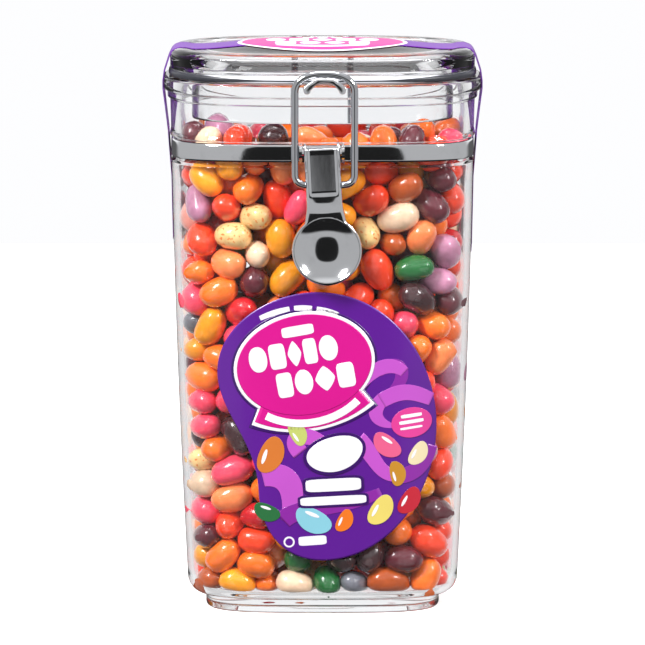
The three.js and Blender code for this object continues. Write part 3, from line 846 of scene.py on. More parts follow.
@dataclass
class Clasp:
    """Front clasp: bracket, spoon-shaped lever, wire bail and the saddle that the bail pulls on."""

    centre: float = -0.2
    pivot_y: float = -(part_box("tub")[1][1] / MM + 2.7)
    pivot_z: float = 161.0
    half: float = 6.1
    proud: float = 2.4
    sheet: float = 0.8
    lean: float = math.radians(2.9)
    spoon_radius: float = 11.9
    spoon_drop: float = 33.7
    bowl_depth: float = 3.1
    fall: float = 2.9
    fall_reach: float = 21.0
    crown: float = 0.3
    wire: float = 1.27
    bail_centre: float = 0.75
    bail_half: float = 10.05
    bail_foot: float = 149.9
    bail_corner: float = 3.4
    spring_z: float = 181.4
    rise: float = 6.1

    def hoop(self, centre: float, y: float, foot: float, left_end: float, right_end: float) -> np.ndarray:
        """Path of a wire hoop: feet turned in, rounded corners, straight legs and a low arch.

        The arch is half a superellipse, x = c + h sgn(cos t)|cos t|^0.86 and z = s + r sin(t)^0.9.

        Args:
            centre: Middle of the hoop across the jar.
            y: Plane of the hoop.
            foot: Height of the two feet.
            left_end: Where the left foot ends.
            right_end: Where the right foot ends.

        Returns:
            Rows of x, y and z.
        """
        left, right, corner = centre - self.bail_half, centre + self.bail_half, self.bail_corner
        t = np.linspace(0, np.pi / 2, 9)
        bend = np.stack([left + corner - corner * np.sin(t), foot + corner - corner * np.cos(t)], 1)
        s = np.linspace(np.pi, 0, 49)
        arch = np.stack([centre + self.bail_half * np.sign(np.cos(s)) * np.abs(np.cos(s)) ** 0.86,
                         self.spring_z + self.rise * np.clip(np.sin(s), 0, 1) ** 0.9], 1)
        unbend = bend[::-1] * [-1, 1] + [left + right, 0]
        flat = np.concatenate([[[left_end, foot]], bend, arch, unbend, [[right_end, foot]]])
        steps = np.linalg.norm(np.diff(flat, axis=0), axis=1)
        flat = flat[np.concatenate([[True], steps > 1e-3])]
        flat = refine(flat, 1.6)
        return np.insert(flat, 1, y, axis=1)

    def lean_over(self, points: np.ndarray) -> np.ndarray:
        """Turns points of the lever about Y through the pin by the lever's slight lean."""
        c, s = math.cos(self.lean), math.sin(self.lean)
        x, z = points[..., 0], points[..., 2] - self.pivot_z
        return np.stack([self.centre + x * c - z * s, points[..., 1], self.pivot_z + x * s + z * c], -1)

    def lever_shell(self) -> np.ndarray:
        """The pressed sheet of the lever as a grid from top to tip and from edge to edge.

        Down its length the half width is constant, eases out, then is R cos(a) round the spoon. Across it,
        the sheet runs forward up one flange, round a small corner, over the front and back down the other.
        The front is pressed in by a shallow panel on the neck and by the bowl, D (1 - (r / R)^3).

        Returns:
            An array of rows, columns and x, y, z.
        """
        top, spoon = self.pivot_z + 1.4, self.pivot_z - self.spoon_drop
        join = math.radians(52)
        a = np.linspace(join, -np.pi / 2 + 0.02, 54)
        round_z, round_w = spoon + self.spoon_radius * np.sin(a), self.spoon_radius * np.cos(a)
        neck_z = np.linspace(top, round_z[0], 46, endpoint=False)
        widening = smooth(-neck_z, -round_z[0] - 7.5, -round_z[0] + 2.5) ** 1.2
        neck_w = self.half + (round_w[0] - self.half) * widening
        z = np.concatenate([neck_z, round_z])[:, None]
        w = np.concatenate([neck_w, round_w])[:, None]
        deep = 0.9 + 3.4 * smooth(z, self.pivot_z - 14, self.pivot_z - 3)
        corner = np.minimum(0.9, w * 0.6)
        s = np.linspace(-1, 1, 69)[None]
        across = np.clip(s / 0.72, -1, 1)
        x = across * (w - corner)
        turn = np.clip((np.abs(s) - 0.72) / 0.14, 0, 1) * np.pi / 2
        back = np.clip((np.abs(s) - 0.86) / 0.14, 0, 1)
        x = x + np.sign(s) * corner * np.sin(turn)
        y = corner * (1 - np.cos(turn)) + back * np.maximum(deep - corner, 0.2)
        r = np.hypot(x, z - spoon)
        bowl = self.bowl_depth * np.clip(1 - (r / (self.spoon_radius - 0.9)) ** 3, 0, 1)
        panel = 0.5 * smooth(4.9 - np.abs(x), 0, 0.7) * smooth(z, 146.2, 147.2)
        swell = 0.35 * smooth(z, round_z[0] - 2, round_z[0] + 3) * (1 - smooth(z, 144, 147))
        y = y + bowl + panel * (turn == 0) - swell * (1 - (x / np.maximum(w, 1e-3)) ** 2)
        crown = np.clip(1 - (x / self.half) ** 2, 0, 1) * smooth(z, spoon + self.spoon_radius, 144)
        y = y + self.pivot_y - self.proud - self.crown * crown
        y = y + self.fall * np.clip((self.pivot_z - z) / self.fall_reach, 0, 1)
        return self.lean_over(np.stack([x, y, np.broadcast_to(z, x.shape)], -1))

    def build_lever(self, chrome: bpy.types.Material) -> None:
        """Makes the lever's sheet and gives it its thickness towards the back."""
        grid = self.lever_shell()
        rows, columns = grid.shape[:2]
        piece = make_mesh("spoon_lever", grid, grid_faces(rows, columns, False, False)[:, ::-1])
        thick = piece.modifiers.new("thickness", "SOLIDIFY")
        thick.thickness, thick.offset = self.sheet * MM, -1.0
        thick.use_even_offset = False
        dress(piece, chrome, LEVER, "chrome_sheet", "lever")

    def lever_ears(self, chrome: bpy.types.Material) -> None:
        """Two rounded ears that carry the lever on its pin, standing just above its top edge."""
        t = np.linspace(-0.2 * np.pi, np.pi * 0.8, 13)
        arc = np.stack([self.pivot_y + 2.6 * np.cos(t), self.pivot_z + 2.6 * np.sin(t) + 0.6], 1)
        foot = np.array([[self.pivot_y - 1.9, self.pivot_z - 6.5], [self.pivot_y + 1.9, self.pivot_z - 6.5]])
        outline = np.concatenate([arc, foot])
        for side, name in ((-1, "left"), (1, "right")):
            piece = prism(f"lever_ear_{name}", outline, -self.sheet / 2, self.sheet / 2, 0.2)
            points = np.empty(len(piece.data.vertices) * 3)
            piece.data.vertices.foreach_get("co", points)
            points = points.reshape(-1, 3) / MM
            x = side * (self.half - self.sheet * 0.62) + points[:, 1]
            placed = self.lean_over(np.stack([x, points[:, 0], points[:, 2]], 1)) * MM
            piece.data.vertices.foreach_set("co", placed.ravel())
            piece.data.update()
            dress(outward(piece), chrome, LEVER, "chrome_sheet")

    def saddle(self, name: str, centre: float, away: bool, chrome: bpy.types.Material, node: str) -> None:
        """A curved band under the arch with a rounded claw at each end, and its tongue under the lid.

        Args:
            name: The piece's name.
            centre: Its middle across the jar.
            away: Whether it sits at the back of the jar.
            chrome: Its material.
            node: The frame node it replaces.
        """
        top = self.spring_z + self.rise - self.wire - 0.15
        t = np.linspace(-1, 1, 41)
        outer = np.stack([7.3 * t, top - 3.2 * np.abs(t) ** 2.1], 1)
        claw = np.linspace(0, -np.pi, 13)
        right = np.stack([5.95 + 1.2 * np.cos(claw), top - 4.1 + 1.2 * np.sin(claw)], 1)
        inner = np.stack([4.75 * t[::-1], top - 1.35 - 2.75 * np.abs(t) ** 2.3], 1)
        left = np.stack([-5.95 + 1.2 * np.cos(claw), top - 4.1 + 1.2 * np.sin(claw)], 1)
        outline = np.concatenate([outer, right, inner[1:-1], left])
        reach = -self.pivot_y + 1.6
        seat = float(FORM.half_depth(FORM.collar_half, FORM.collar_top)) + 0.3
        front, back = (-reach, -seat) if not away else (seat, reach)
        piece = prism(name, outline + [centre, 0], front, back, 0.22)
        dress(piece, chrome, JAR, "chrome_sheet", node)

    def build(self, chrome: bpy.types.Material, satin: bpy.types.Material, wire: bpy.types.Material) -> None:
        """Makes every piece of the front clasp and of the plain hoop at the back."""
        self.build_lever(satin)
        self.lever_ears(chrome)
        middle = self.centre + (self.pivot_z - self.bail_foot) * math.tan(self.lean)
        reach = self.half + 0.05
        bail = self.hoop(self.bail_centre, self.pivot_y, self.bail_foot, middle - reach, middle + reach)
        dress(tube("wire_bail", bail, self.wire), wire, BAIL, "chrome_wire", "bail")
        self.saddle("bail_saddle", self.bail_centre, False, chrome, "saddle")
        self.saddle("back_saddle", 0.0, True, chrome, "rear_saddle")
        low = (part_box("rear_barrel")[0][2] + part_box("rear_barrel")[1][2]) / 2 / MM
        rear = self.hoop(0.0, -self.pivot_y, low, -6.2, 6.2)
        dress(tube("back_hoop", rear, self.wire), wire, JAR, "chrome_wire", "rear_hoop")
        for node in ("bracket", "rear_barrel"):
            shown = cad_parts[node]
            shown.data.materials.clear()
            shown.data.materials.append(chrome)


# ---- print ------------------------------------------------------------------------------------------


class Ink(Enum):
    """Inks of the label and seal, as display colours."""

    DEEP = (92, 18, 144)
    EDGE = (56, 6, 100)
    MAGENTA = (214, 8, 140)
    WHITE = (248, 244, 250)
    RIBBON = (196, 84, 200)
    RIBBON_SHADE = (140, 36, 160)
    BUBBLE = (226, 62, 150)
    SEAL = (106, 32, 156)
    SEAL_PINK = (208, 40, 142)
    TAN = (214, 120, 48)
    LIME = (196, 206, 110)
    GREEN = (40, 110, 60)
    SKY = (140, 205, 222)
    ORANGE = (240, 120, 30)
    YELLOW = (236, 214, 110)
    RED = (196, 28, 50)
    PINK = (232, 96, 140)
    CREAM = (240, 222, 180)
    AMBER = (200, 140, 40)

    @property
    def shade(self) -> Colour:
        """The ink as a linear colour, toned down to sit under bright lamps."""
        return tuple(0.72 * c for c in linear(*self.value))


@dataclass
class PrintLayer:
    """Flat printed shapes gathered into one thin piece that follows a surface."""

    lift: float = 0.035
    rings: int = 7
    vertices: list = field(default_factory=list)
    faces: list = field(default_factory=list)
    inks: list = field(default_factory=list)
    count: int = 0

    def add(self, outline: np.ndarray, ink: Ink, level: int, rest) -> None:
        """Adds a shape as a closed thin leaf: rings shrink from its outline to its middle, front and back.

        Args:
            outline: Rows of two flat coordinates.
            ink: The shape's ink.
            level: How many layers of ink lie under it.
            rest: Function from flat points and a height off the surface to points in space.
        """
        middle = outline.mean(0)
        sides = len(outline)
        share = np.append(np.linspace(0, 1, self.rings + 1)[1:-1], [0.985, 1.0])[:, None, None]
        flat = middle + share * (outline - middle)
        high, low = (level + 1) * self.lift, level * self.lift * 0.5
        front, back = rest(flat, high), rest(flat[::-1], low)
        poles = np.concatenate([rest(middle[None], high), rest(middle[None], low)])
        self.keep(np.concatenate([front.reshape(-1, 3), back.reshape(-1, 3), poles]),
                  capped_faces(2 * len(share), sides), ink)

    def keep(self, block: np.ndarray, faces: list, ink: Ink) -> None:
        """Stores one closed leaf's points, faces and ink."""
        self.faces += [[v + self.count for v in row] for row in faces]
        self.vertices.append(block)
        self.inks.append(np.broadcast_to(np.array([*ink.shade, 1.0]), (len(block), 4)))
        self.count += len(block)

    def add_band(self, points: list[tuple[float, float]], widths: tuple[float, float, float], ink: Ink,
                 level: int, rest, count: int = 34) -> None:
        """Adds a curved band as a closed thin leaf of stations along a cubic Bezier middle line.

        Args:
            points: The curve's four control points.
            widths: Width at its start, middle and end.
            ink: The band's ink.
            level: How many layers of ink lie under it.
            rest: Function from flat points and a height off the surface to points in space.
            count: Number of stations.
        """
        t = np.linspace(0, 1, count)[:, None]
        p = [np.array(q, float) for q in points]
        line = (1 - t) ** 3 * p[0] + 3 * (1 - t) ** 2 * t * p[1] + 3 * (1 - t) * t ** 2 * p[2] + t ** 3 * p[3]
        along = np.gradient(line, axis=0)
        along /= np.linalg.norm(along, axis=1, keepdims=True)
        normal = np.stack([-along[:, 1], along[:, 0]], 1)
        width = widths[0] * (1 - t) * (1 - 2 * t) + 4 * widths[1] * t * (1 - t) + widths[2] * t * (2 * t - 1)
        across = np.array([-1, -0.97, -0.5, 0, 0.5, 0.97, 1])[None, :, None] / 2
        flat = line[:, None] + across * (normal * width)[:, None]
        high, low = (level + 1) * self.lift, level * self.lift * 0.5
        block = np.concatenate([rest(flat, high), rest(flat[:, ::-1], low)], 1)
        ends = np.stack([rest(line[i], (high + low) / 2) for i in (0, -1)])
        self.keep(np.concatenate([block.reshape(-1, 3), ends]), capped_faces(count, block.shape[1]), ink)

    def build(self, name: str) -> bpy.types.Object:
        """Joins all shapes into one piece with its inks in the attribute that the film reads."""
        piece = outward(make_mesh(name, np.concatenate(self.vertices), self.faces))
        inks = piece.data.attributes.new("ink", "FLOAT_COLOR", "POINT")
        inks.data.foreach_set("color", np.concatenate(self.inks).ravel())
        return piece


def turn_flat(points: np.ndarray, degrees: float, place: tuple[float, float]) -> np.ndarray:
    """Turns flat points anticlockwise and moves them to a place."""
    c, s = math.cos(math.radians(degrees)), math.sin(math.radians(degrees))
    return points @ np.array([[c, s], [-s, c]]) + np.array(place)


def oval(half_long: float, half_high: float, degrees: float, place: tuple[float, float],
         power: float = 2.0, count: int = 72) -> np.ndarray:
    """A superellipse outline: x = a sgn(cos)|cos|^(2/n), z = b sgn(sin)|sin|^(2/n), turned and placed."""
    t = np.linspace(0, 2 * np.pi, count, endpoint=False)
    c, s = np.cos(t), np.sin(t)
    flat = np.stack([half_long * np.sign(c) * np.abs(c) ** (2 / power),
                     half_high * np.sign(s) * np.abs(s) ** (2 / power)], 1)
    return turn_flat(flat, degrees, place)


def kidney(long: float, high: float, bend: float, degrees: float, place: tuple[float, float],
           count: int = 48) -> np.ndarray:
    """A bean outline: an oval whose middle line is bent into a shallow arc of height `bend`."""
    t = np.linspace(0, 2 * np.pi, count, endpoint=False)
    x, z = long / 2 * np.cos(t), high / 2 * np.sin(t)
    z = z + bend * (2 * (2 * x / long) ** 2 - 1)
    return turn_flat(np.stack([x, z], 1), degrees, place)


@dataclass
class FrontLabel:
    """The leaning bean-shaped label on the front wall, with its printed shapes."""

    off: float = 0.08
    tilt: float = 10.0
    badge_place: tuple[float, float] = (-6.2, 87.3)
    bar_power: float = 6.0

    def rest(self, flat: np.ndarray, high: float) -> np.ndarray:
        """Lays flat points on the front wall, a given height off it."""
        x, z = flat[..., 0], flat[..., 1]
        return np.stack([x, FORM.front(x, z, self.off + high), z], -1)

    def outline(self) -> np.ndarray:
        """The blob's edge as a chain of five cubic Bezier curves."""
        knots = [(-1.9, 112.4), (-35.8, 84.6), (-21.8, 43.5), (0, 19.1), (38.9, 66), (-1.9, 112.4)]
        handles = [((-19, 112.4), (-35.9, 100.3)), ((-35.8, 70.9), (-22.5, 61.1)),
                   ((-21.3, 28.8), (-13, 19.1)), ((20, 19.1), (38.9, 39.6)), ((38.9, 88.5), (24, 112.4))]
        t = np.linspace(0, 1, 26, endpoint=False)[:, None]
        parts = [(1 - t) ** 3 * np.array(a) + 3 * (1 - t) ** 2 * t * np.array(h[0])
                 + 3 * (1 - t) * t ** 2 * np.array(h[1]) + t ** 3 * np.array(b)
                 for a, b, h in zip(knots[:-1], knots[1:], handles)]
        return np.concatenate(parts)

    def on_badge(self, x: float, z: float) -> tuple[float, float]:
        """A place on the label from one in the badge's own tilted frame."""
        return tuple(turn_flat(np.array([[x, z]]), self.tilt, self.badge_place)[0])

    def shapes(self, sheet: PrintLayer, middle: tuple[float, float], widths: tuple[float, ...],
               powers: tuple[float, ...], high: float, gap: float) -> None:
        """A sloping row of white squares, ovals and diamonds.

        Args:
            sheet: The print to add to.
            middle: Middle of the row, on the badge.
            widths: Width of each shape, from the left.
            powers: Exponent of each shape's superellipse: 1.2 a diamond, 2 an oval, 5 a rounded square.
            high: Height of the shapes.
            gap: Space between them.
        """
        x = -(sum(widths) + gap * (len(widths) - 1)) / 2
        for wide, power in zip(widths, powers):
            spot = self.on_badge(middle[0] + x + wide / 2, middle[1])
            sheet.add(oval(wide / 2, high / 2, self.tilt, spot, power, 40), Ink.WHITE, 7, self.rest)
            x += wide + gap

    def bar(self, sheet: PrintLayer, middle: tuple[float, float], long: float, high: float, tilt: float,
            level: int, rim: float = 0.0) -> None:
        """A white bar with rounded ends, with a dark rim if one is asked for."""
        if rim > 0:
            sheet.add(oval(long / 2 + rim, high / 2 + rim, tilt, middle, self.bar_power, 60), Ink.EDGE,
                      level - 1, self.rest)
        sheet.add(oval(long / 2, high / 2, tilt, middle, self.bar_power, 60), Ink.WHITE, level, self.rest)

    def badge(self, sheet: PrintLayer) -> None:
        """The tilted oval badge with rows of white shapes, and a curved banner under it."""
        place, tilt = self.badge_place, self.tilt
        sheet.add(oval(25.0, 19.2, tilt, place), Ink.EDGE, 1, self.rest)
        arc = [(-18.8, -13.2), (-8.0, -19.8), (8.0, -19.8), (18.8, -13.2)]
        for shrink, width, ink, level in ((1.04, 11.4, Ink.EDGE, 2), (1.0, 9.8, Ink.WHITE, 3),
                                          (0.96, 7.8, Ink.MAGENTA, 5)):
            line = [self.on_badge(x * shrink, z) for x, z in arc]
            sheet.add_band(line, (width, width, width), ink, level, self.rest)
        sheet.add(oval(24.2, 18.4, tilt, place), Ink.WHITE, 4, self.rest)
        sheet.add(oval(23.1, 17.3, tilt, place), Ink.MAGENTA, 6, self.rest)
        self.bar(sheet, self.on_badge(-0.2, 12.0), 11.0, 3.6, tilt, 7)
        self.shapes(sheet, (-3.0, 4.4), (6.2, 5.6, 4.6, 4.6, 6.4), (2.2, 5.0, 1.3, 5.0, 2.0), 8.8, 0.8)
        self.shapes(sheet, (3.0, -5.8), (5.4, 6.2, 6.8, 6.0), (5.0, 2.0, 1.3, 5.0), 8.6, 0.8)
        line = [self.on_badge(x * 0.84, z - 2.0) for x, z in arc]
        sheet.add_band(line, (2.6, 2.6, 2.6), Ink.WHITE, 7, self.rest)

    def small_marks(self, sheet: PrintLayer) -> None:
        """Short white bars where such a label has its small print."""
        for start, end in ((120.0, 99.0), (96.0, 84.0), (81.0, 66.0)):
            turn = np.radians(start + (end - start) * np.array([0, 1 / 3, 2 / 3, 1]))
            line = list(zip(-6.6 + 29.4 * np.cos(turn), 79.6 + 27.4 * np.sin(turn)))
            sheet.add_band(line, (1.6, 1.9, 1.6), Ink.WHITE, 1, self.rest)
        sheet.add(oval(1.9, 1.9, 0, (-11.4, 25.6)), Ink.WHITE, 1, self.rest)
        sheet.add(oval(1.3, 1.3, 0, (-11.4, 25.6)), Ink.DEEP, 2, self.rest)
        self.bar(sheet, (-3.4, 26.1), 9.6, 3.2, 4.0, 1)
        for row, (long, high) in enumerate(((7.2, 1.2), (8.4, 1.2), (7.6, 0.8))):
            self.bar(sheet, (30.3, 69.6 - 2.1 * row), long, high, 8.0, 5)

    def emblem(self, sheet: PrintLayer) -> None:
        """A big white bean with two bars under it, in the middle of the lower half."""
        for grow, ink, level in ((1.1, Ink.EDGE, 6), (0.0, Ink.WHITE, 7)):
            sheet.add(kidney(19.6 + 2 * grow, 12.0 + 2 * grow, 0.3, 16.0, (4.2, 56.6)), ink, level, self.rest)
        self.bar(sheet, (3.7, 45.6), 19.0, 4.4, 3.0, 7, 0.9)
        self.bar(sheet, (3.7, 40.2), 22.6, 3.0, 3.0, 9, 0.8)

    def ribbons(self, sheet: PrintLayer) -> None:
        """Curling bands behind the printed beans."""
        bands = [
            ([(19.0, 84.6), (26.5, 91.4), (31.0, 83.1), (22.0, 76.3)], (3.6, 4.6, 3.0), Ink.RIBBON_SHADE),
            ([(13.0, 79.7), (17.0, 86.6), (23.5, 89.0), (28.0, 84.6)], (3.0, 5.0, 3.6), Ink.RIBBON),
            ([(21.5, 76.3), (16.0, 71.9), (17.5, 67.0), (24.5, 66.0)], (4.4, 4.6, 1.2), Ink.RIBBON),
            ([(20.0, 74.8), (28.0, 79.7), (32.0, 77.3), (37.2, 75.0)], (5.2, 5.4, 4.4), Ink.RIBBON),
            ([(-20.5, 48.4), (-11.5, 50.8), (-8.0, 44.0), (-12.0, 32.7)], (7.0, 8.4, 4.6), Ink.RIBBON),
            ([(-13.5, 33.2), (-8.0, 39.1), (6.0, 36.1), (20.0, 43.0)], (6.4, 5.6, 3.4), Ink.RIBBON_SHADE),
            ([(-7.5, 56.7), (-13.0, 63.1), (-4.0, 64.5), (1.0, 59.1)], (5.6, 5.8, 4.2), Ink.RIBBON),
            ([(12.0, 61.1), (17.5, 57.2), (18.5, 48.9), (25.0, 48.9)], (6.6, 5.0, 4.6), Ink.RIBBON),
            ([(24.0, 48.4), (31.0, 47.9), (35.5, 52.8), (37.6, 59.1)], (4.8, 5.2, 3.2), Ink.RIBBON_SHADE),
        ]
        for level, (points, widths, ink) in enumerate(bands):
            sheet.add_band(points, widths, ink, 1 + 0.4 * level, self.rest)

    def printed_beans(self, sheet: PrintLayer) -> None:
        """Coloured beans strewn over the ribbons, each with a pale glint."""
        beans = [
            (-17.8, 56.0, 13.4, 66, Ink.TAN), (-8.6, 63.5, 9.0, 118, Ink.LIME),
            (-19.0, 36.2, 9.4, -24, Ink.GREEN), (-3.1, 33.3, 13.2, -28, Ink.SKY),
            (7.4, 33.1, 8.4, 62, Ink.ORANGE), (19.8, 36.8, 11.6, 56, Ink.YELLOW),
            (29.6, 40.0, 10.4, 56, Ink.RED), (22.0, 59.5, 11.0, -40, Ink.PINK),
            (32.6, 56.4, 9.0, 58, Ink.CREAM), (25.4, 49.5, 8.8, 100, Ink.AMBER),
        ]
        for x, z, long, lean, ink in beans:
            sheet.add(kidney(long, long * 0.62, 0.35, lean, (x, z)), ink, 5, self.rest)
            glint = turn_flat(np.array([[-long * 0.1, long * 0.12]]), lean, (x, z))[0]
            sheet.add(oval(long * 0.2, long * 0.05, lean + 6, tuple(glint), 2.0, 20), Ink.WHITE, 6, self.rest)
        sheet.add(oval(7.0, 5.2, 10, (30.4, 67.2)), Ink.BUBBLE, 4, self.rest)

    def build(self, film: bpy.types.Material) -> None:
        """Makes the film and everything printed on it as one piece."""
        sheet = PrintLayer()
        sheet.rings = 14
        sheet.add(self.outline(), Ink.DEEP, 0, self.rest)
        sheet.rings = 5
        self.ribbons(sheet)
        self.badge(sheet)
        self.printed_beans(sheet)
        self.emblem(sheet)
        self.small_marks(sheet)
        dress(sheet.build("front_film"), film, JAR, "label_film", "front_label")


@dataclass
class SealStrip:
    """The tamper seal: a tape over the lid and down both sides, with an oval in its middle."""

    half_width: float = 9.0
    thick: float = 0.14
    end_left: float = 127.1
    end_right: float = 122.5
    oval_half: float = 29.2
    oval_deep: float = 20.5

    def stations(self, end: float) -> np.ndarray:
        """Half width and height of the tape from its lower end up to the lid's rim, in taut spans."""
        f = FORM
        z = np.linspace(end, 149, 12)
        wall = np.stack([f.wall_half(z) + 0.12, z], 1)
        over = fillet([
            (float(f.wall_half(149.0)) + 0.12, 149, 0), (52.9, 165, 6), (54.75, 178.6, 2.5),
            (f.collar_half + 0.25, 181.2, 2.2), (54.3, 184.6, 2.5), (52.65, 189.8, 2.6), (51.4, 192.4, 2.2),
            (49.2, 193.12, 0),
        ], 6)
        return refine(np.concatenate([wall[:-1], over]), 2.0)

    def build(self, film: bpy.types.Material) -> None:
        """Lays the tape: side stations first, then across the lid, and closes it with a thin underside."""
        lid = Lid()
        y = np.linspace(-self.half_width, self.half_width, 13)[None]
        sheets = []
        for side, end in ((-1, self.end_left), (1, self.end_right)):
            line = self.stations(end)
            half, z = line[:, :1], line[:, 1:]
            x = side * FORM.side(y, half, z)
            sheets.append(np.stack(np.broadcast_arrays(x, y, z), -1))
        edge = sheets[0][-1, :, 0][None]
        t = np.linspace(0, 1, 90)[1:-1, None]
        x = edge + (sheets[1][-1, :, 0][None] - edge) * t
        rows = np.broadcast_to(y, x.shape)
        top = np.stack([x, rows, lid.height(x, rows) + 0.1], -1)
        under = np.concatenate([sheets[0], top, sheets[1][::-1]])
        along = np.gradient(under, axis=0)
        across = np.gradient(under, axis=1)
        normal = np.cross(along, across)
        normal /= np.linalg.norm(normal, axis=2, keepdims=True)
        sign = np.sign(normal[len(normal) // 2, 6, 2])
        over = under + normal * sign * self.thick
        rows_n, cols = under.shape[:2]
        loop = np.concatenate([over, under[:, ::-1]], 1)
        faces = grid_faces(rows_n, 2 * cols, False, True).tolist()
        faces.append(list(range(2 * cols))[::-1])
        faces.append([(rows_n - 1) * 2 * cols + k for k in range(2 * cols)])
        tape = outward(make_mesh("seal_tape", loop, faces))
        inks = tape.data.attributes.new("ink", "FLOAT_COLOR", "POINT")
        colour = np.broadcast_to(np.array([*Ink.SEAL.shade, 1.0]), (len(tape.data.vertices), 4))
        inks.data.foreach_set("color", colour.ravel())
        dress(tape, film, JAR, "seal_film", "seal_strip")
        self.build_oval(film, lid)

    def build_oval(self, film: bpy.types.Material, lid: Lid) -> None:
        """The oval in the middle of the lid with plain white shapes in two rows."""
        def rest(flat: np.ndarray, high: float) -> np.ndarray:
            """Lays flat points on the lid's top, a given height above the tape."""
            x, y = flat[..., 0], flat[..., 1]
            return np.stack([x, y, lid.height(x, y) + 0.1 + self.thick + high], -1)

        sheet = PrintLayer()
        sheet.add(oval(self.oval_half, self.oval_deep, 0, (0, 0)), Ink.WHITE, 0, rest)
        sheet.add(oval(self.oval_half - 1.5, self.oval_deep - 1.5, 0, (0, 0)), Ink.SEAL_PINK, 1, rest)
        for row, half, powers in ((12.6, 1.9, (6.0, 2.0, 6.0)), (4.6, 3.4, (2.0, 6.0, 1.3, 6.0, 2.0)),
                                  (-5.0, 3.6, (6.0, 2.0, 1.3, 6.0))):
            for i, power in enumerate(powers):
                x = (2 * half + 1.2) * (i - (len(powers) - 1) / 2)
                sheet.add(oval(half, half * 1.14, 0, (x, row), power, 36), Ink.WHITE, 2, rest)
        line = [(-15.6, -10.8), (-7.0, -15.0), (7.0, -15.0), (15.6, -10.8)]
        sheet.add_band(line, (2.4, 2.6, 2.4), Ink.WHITE, 2, rest)
        dress(sheet.build("seal_oval"), film, JAR, "seal_film")


# ---- the beans --------------------------------------------------------------------------------------


@dataclass(frozen=True)
class Flavour:
    """One colour of bean and its share of the mix."""

    name: str
    hue: Colour
    share: float
    speckle: Colour | None = None


FLAVOURS = (
    Flavour("tawny", linear(246, 108, 10), 0.20),
    Flavour("amber", linear(240, 146, 0), 0.09),
    Flavour("vermilion", linear(242, 58, 8), 0.17),
    Flavour("crimson", linear(204, 14, 28), 0.10),
    Flavour("rose", linear(236, 62, 90), 0.10),
    Flavour("cream", linear(232, 196, 164), 0.07),
    Flavour("salmon", linear(244, 126, 66), 0.08),
    Flavour("plum", linear(84, 10, 28), 0.06),
    Flavour("lilac", linear(186, 124, 152), 0.02),
    Flavour("slate", linear(104, 104, 112), 0.01),
    Flavour("fern", linear(10, 92, 36), 0.02),
    Flavour("moss", linear(148, 138, 24), 0.025),
    Flavour("caramel", linear(172, 72, 10), 0.04),
    Flavour("blush", linear(238, 156, 140), 0.015),
    Flavour("freckled", linear(236, 196, 130), 0.014, linear(214, 104, 30)),
    Flavour("cocoa", linear(50, 10, 16), 0.02),
)


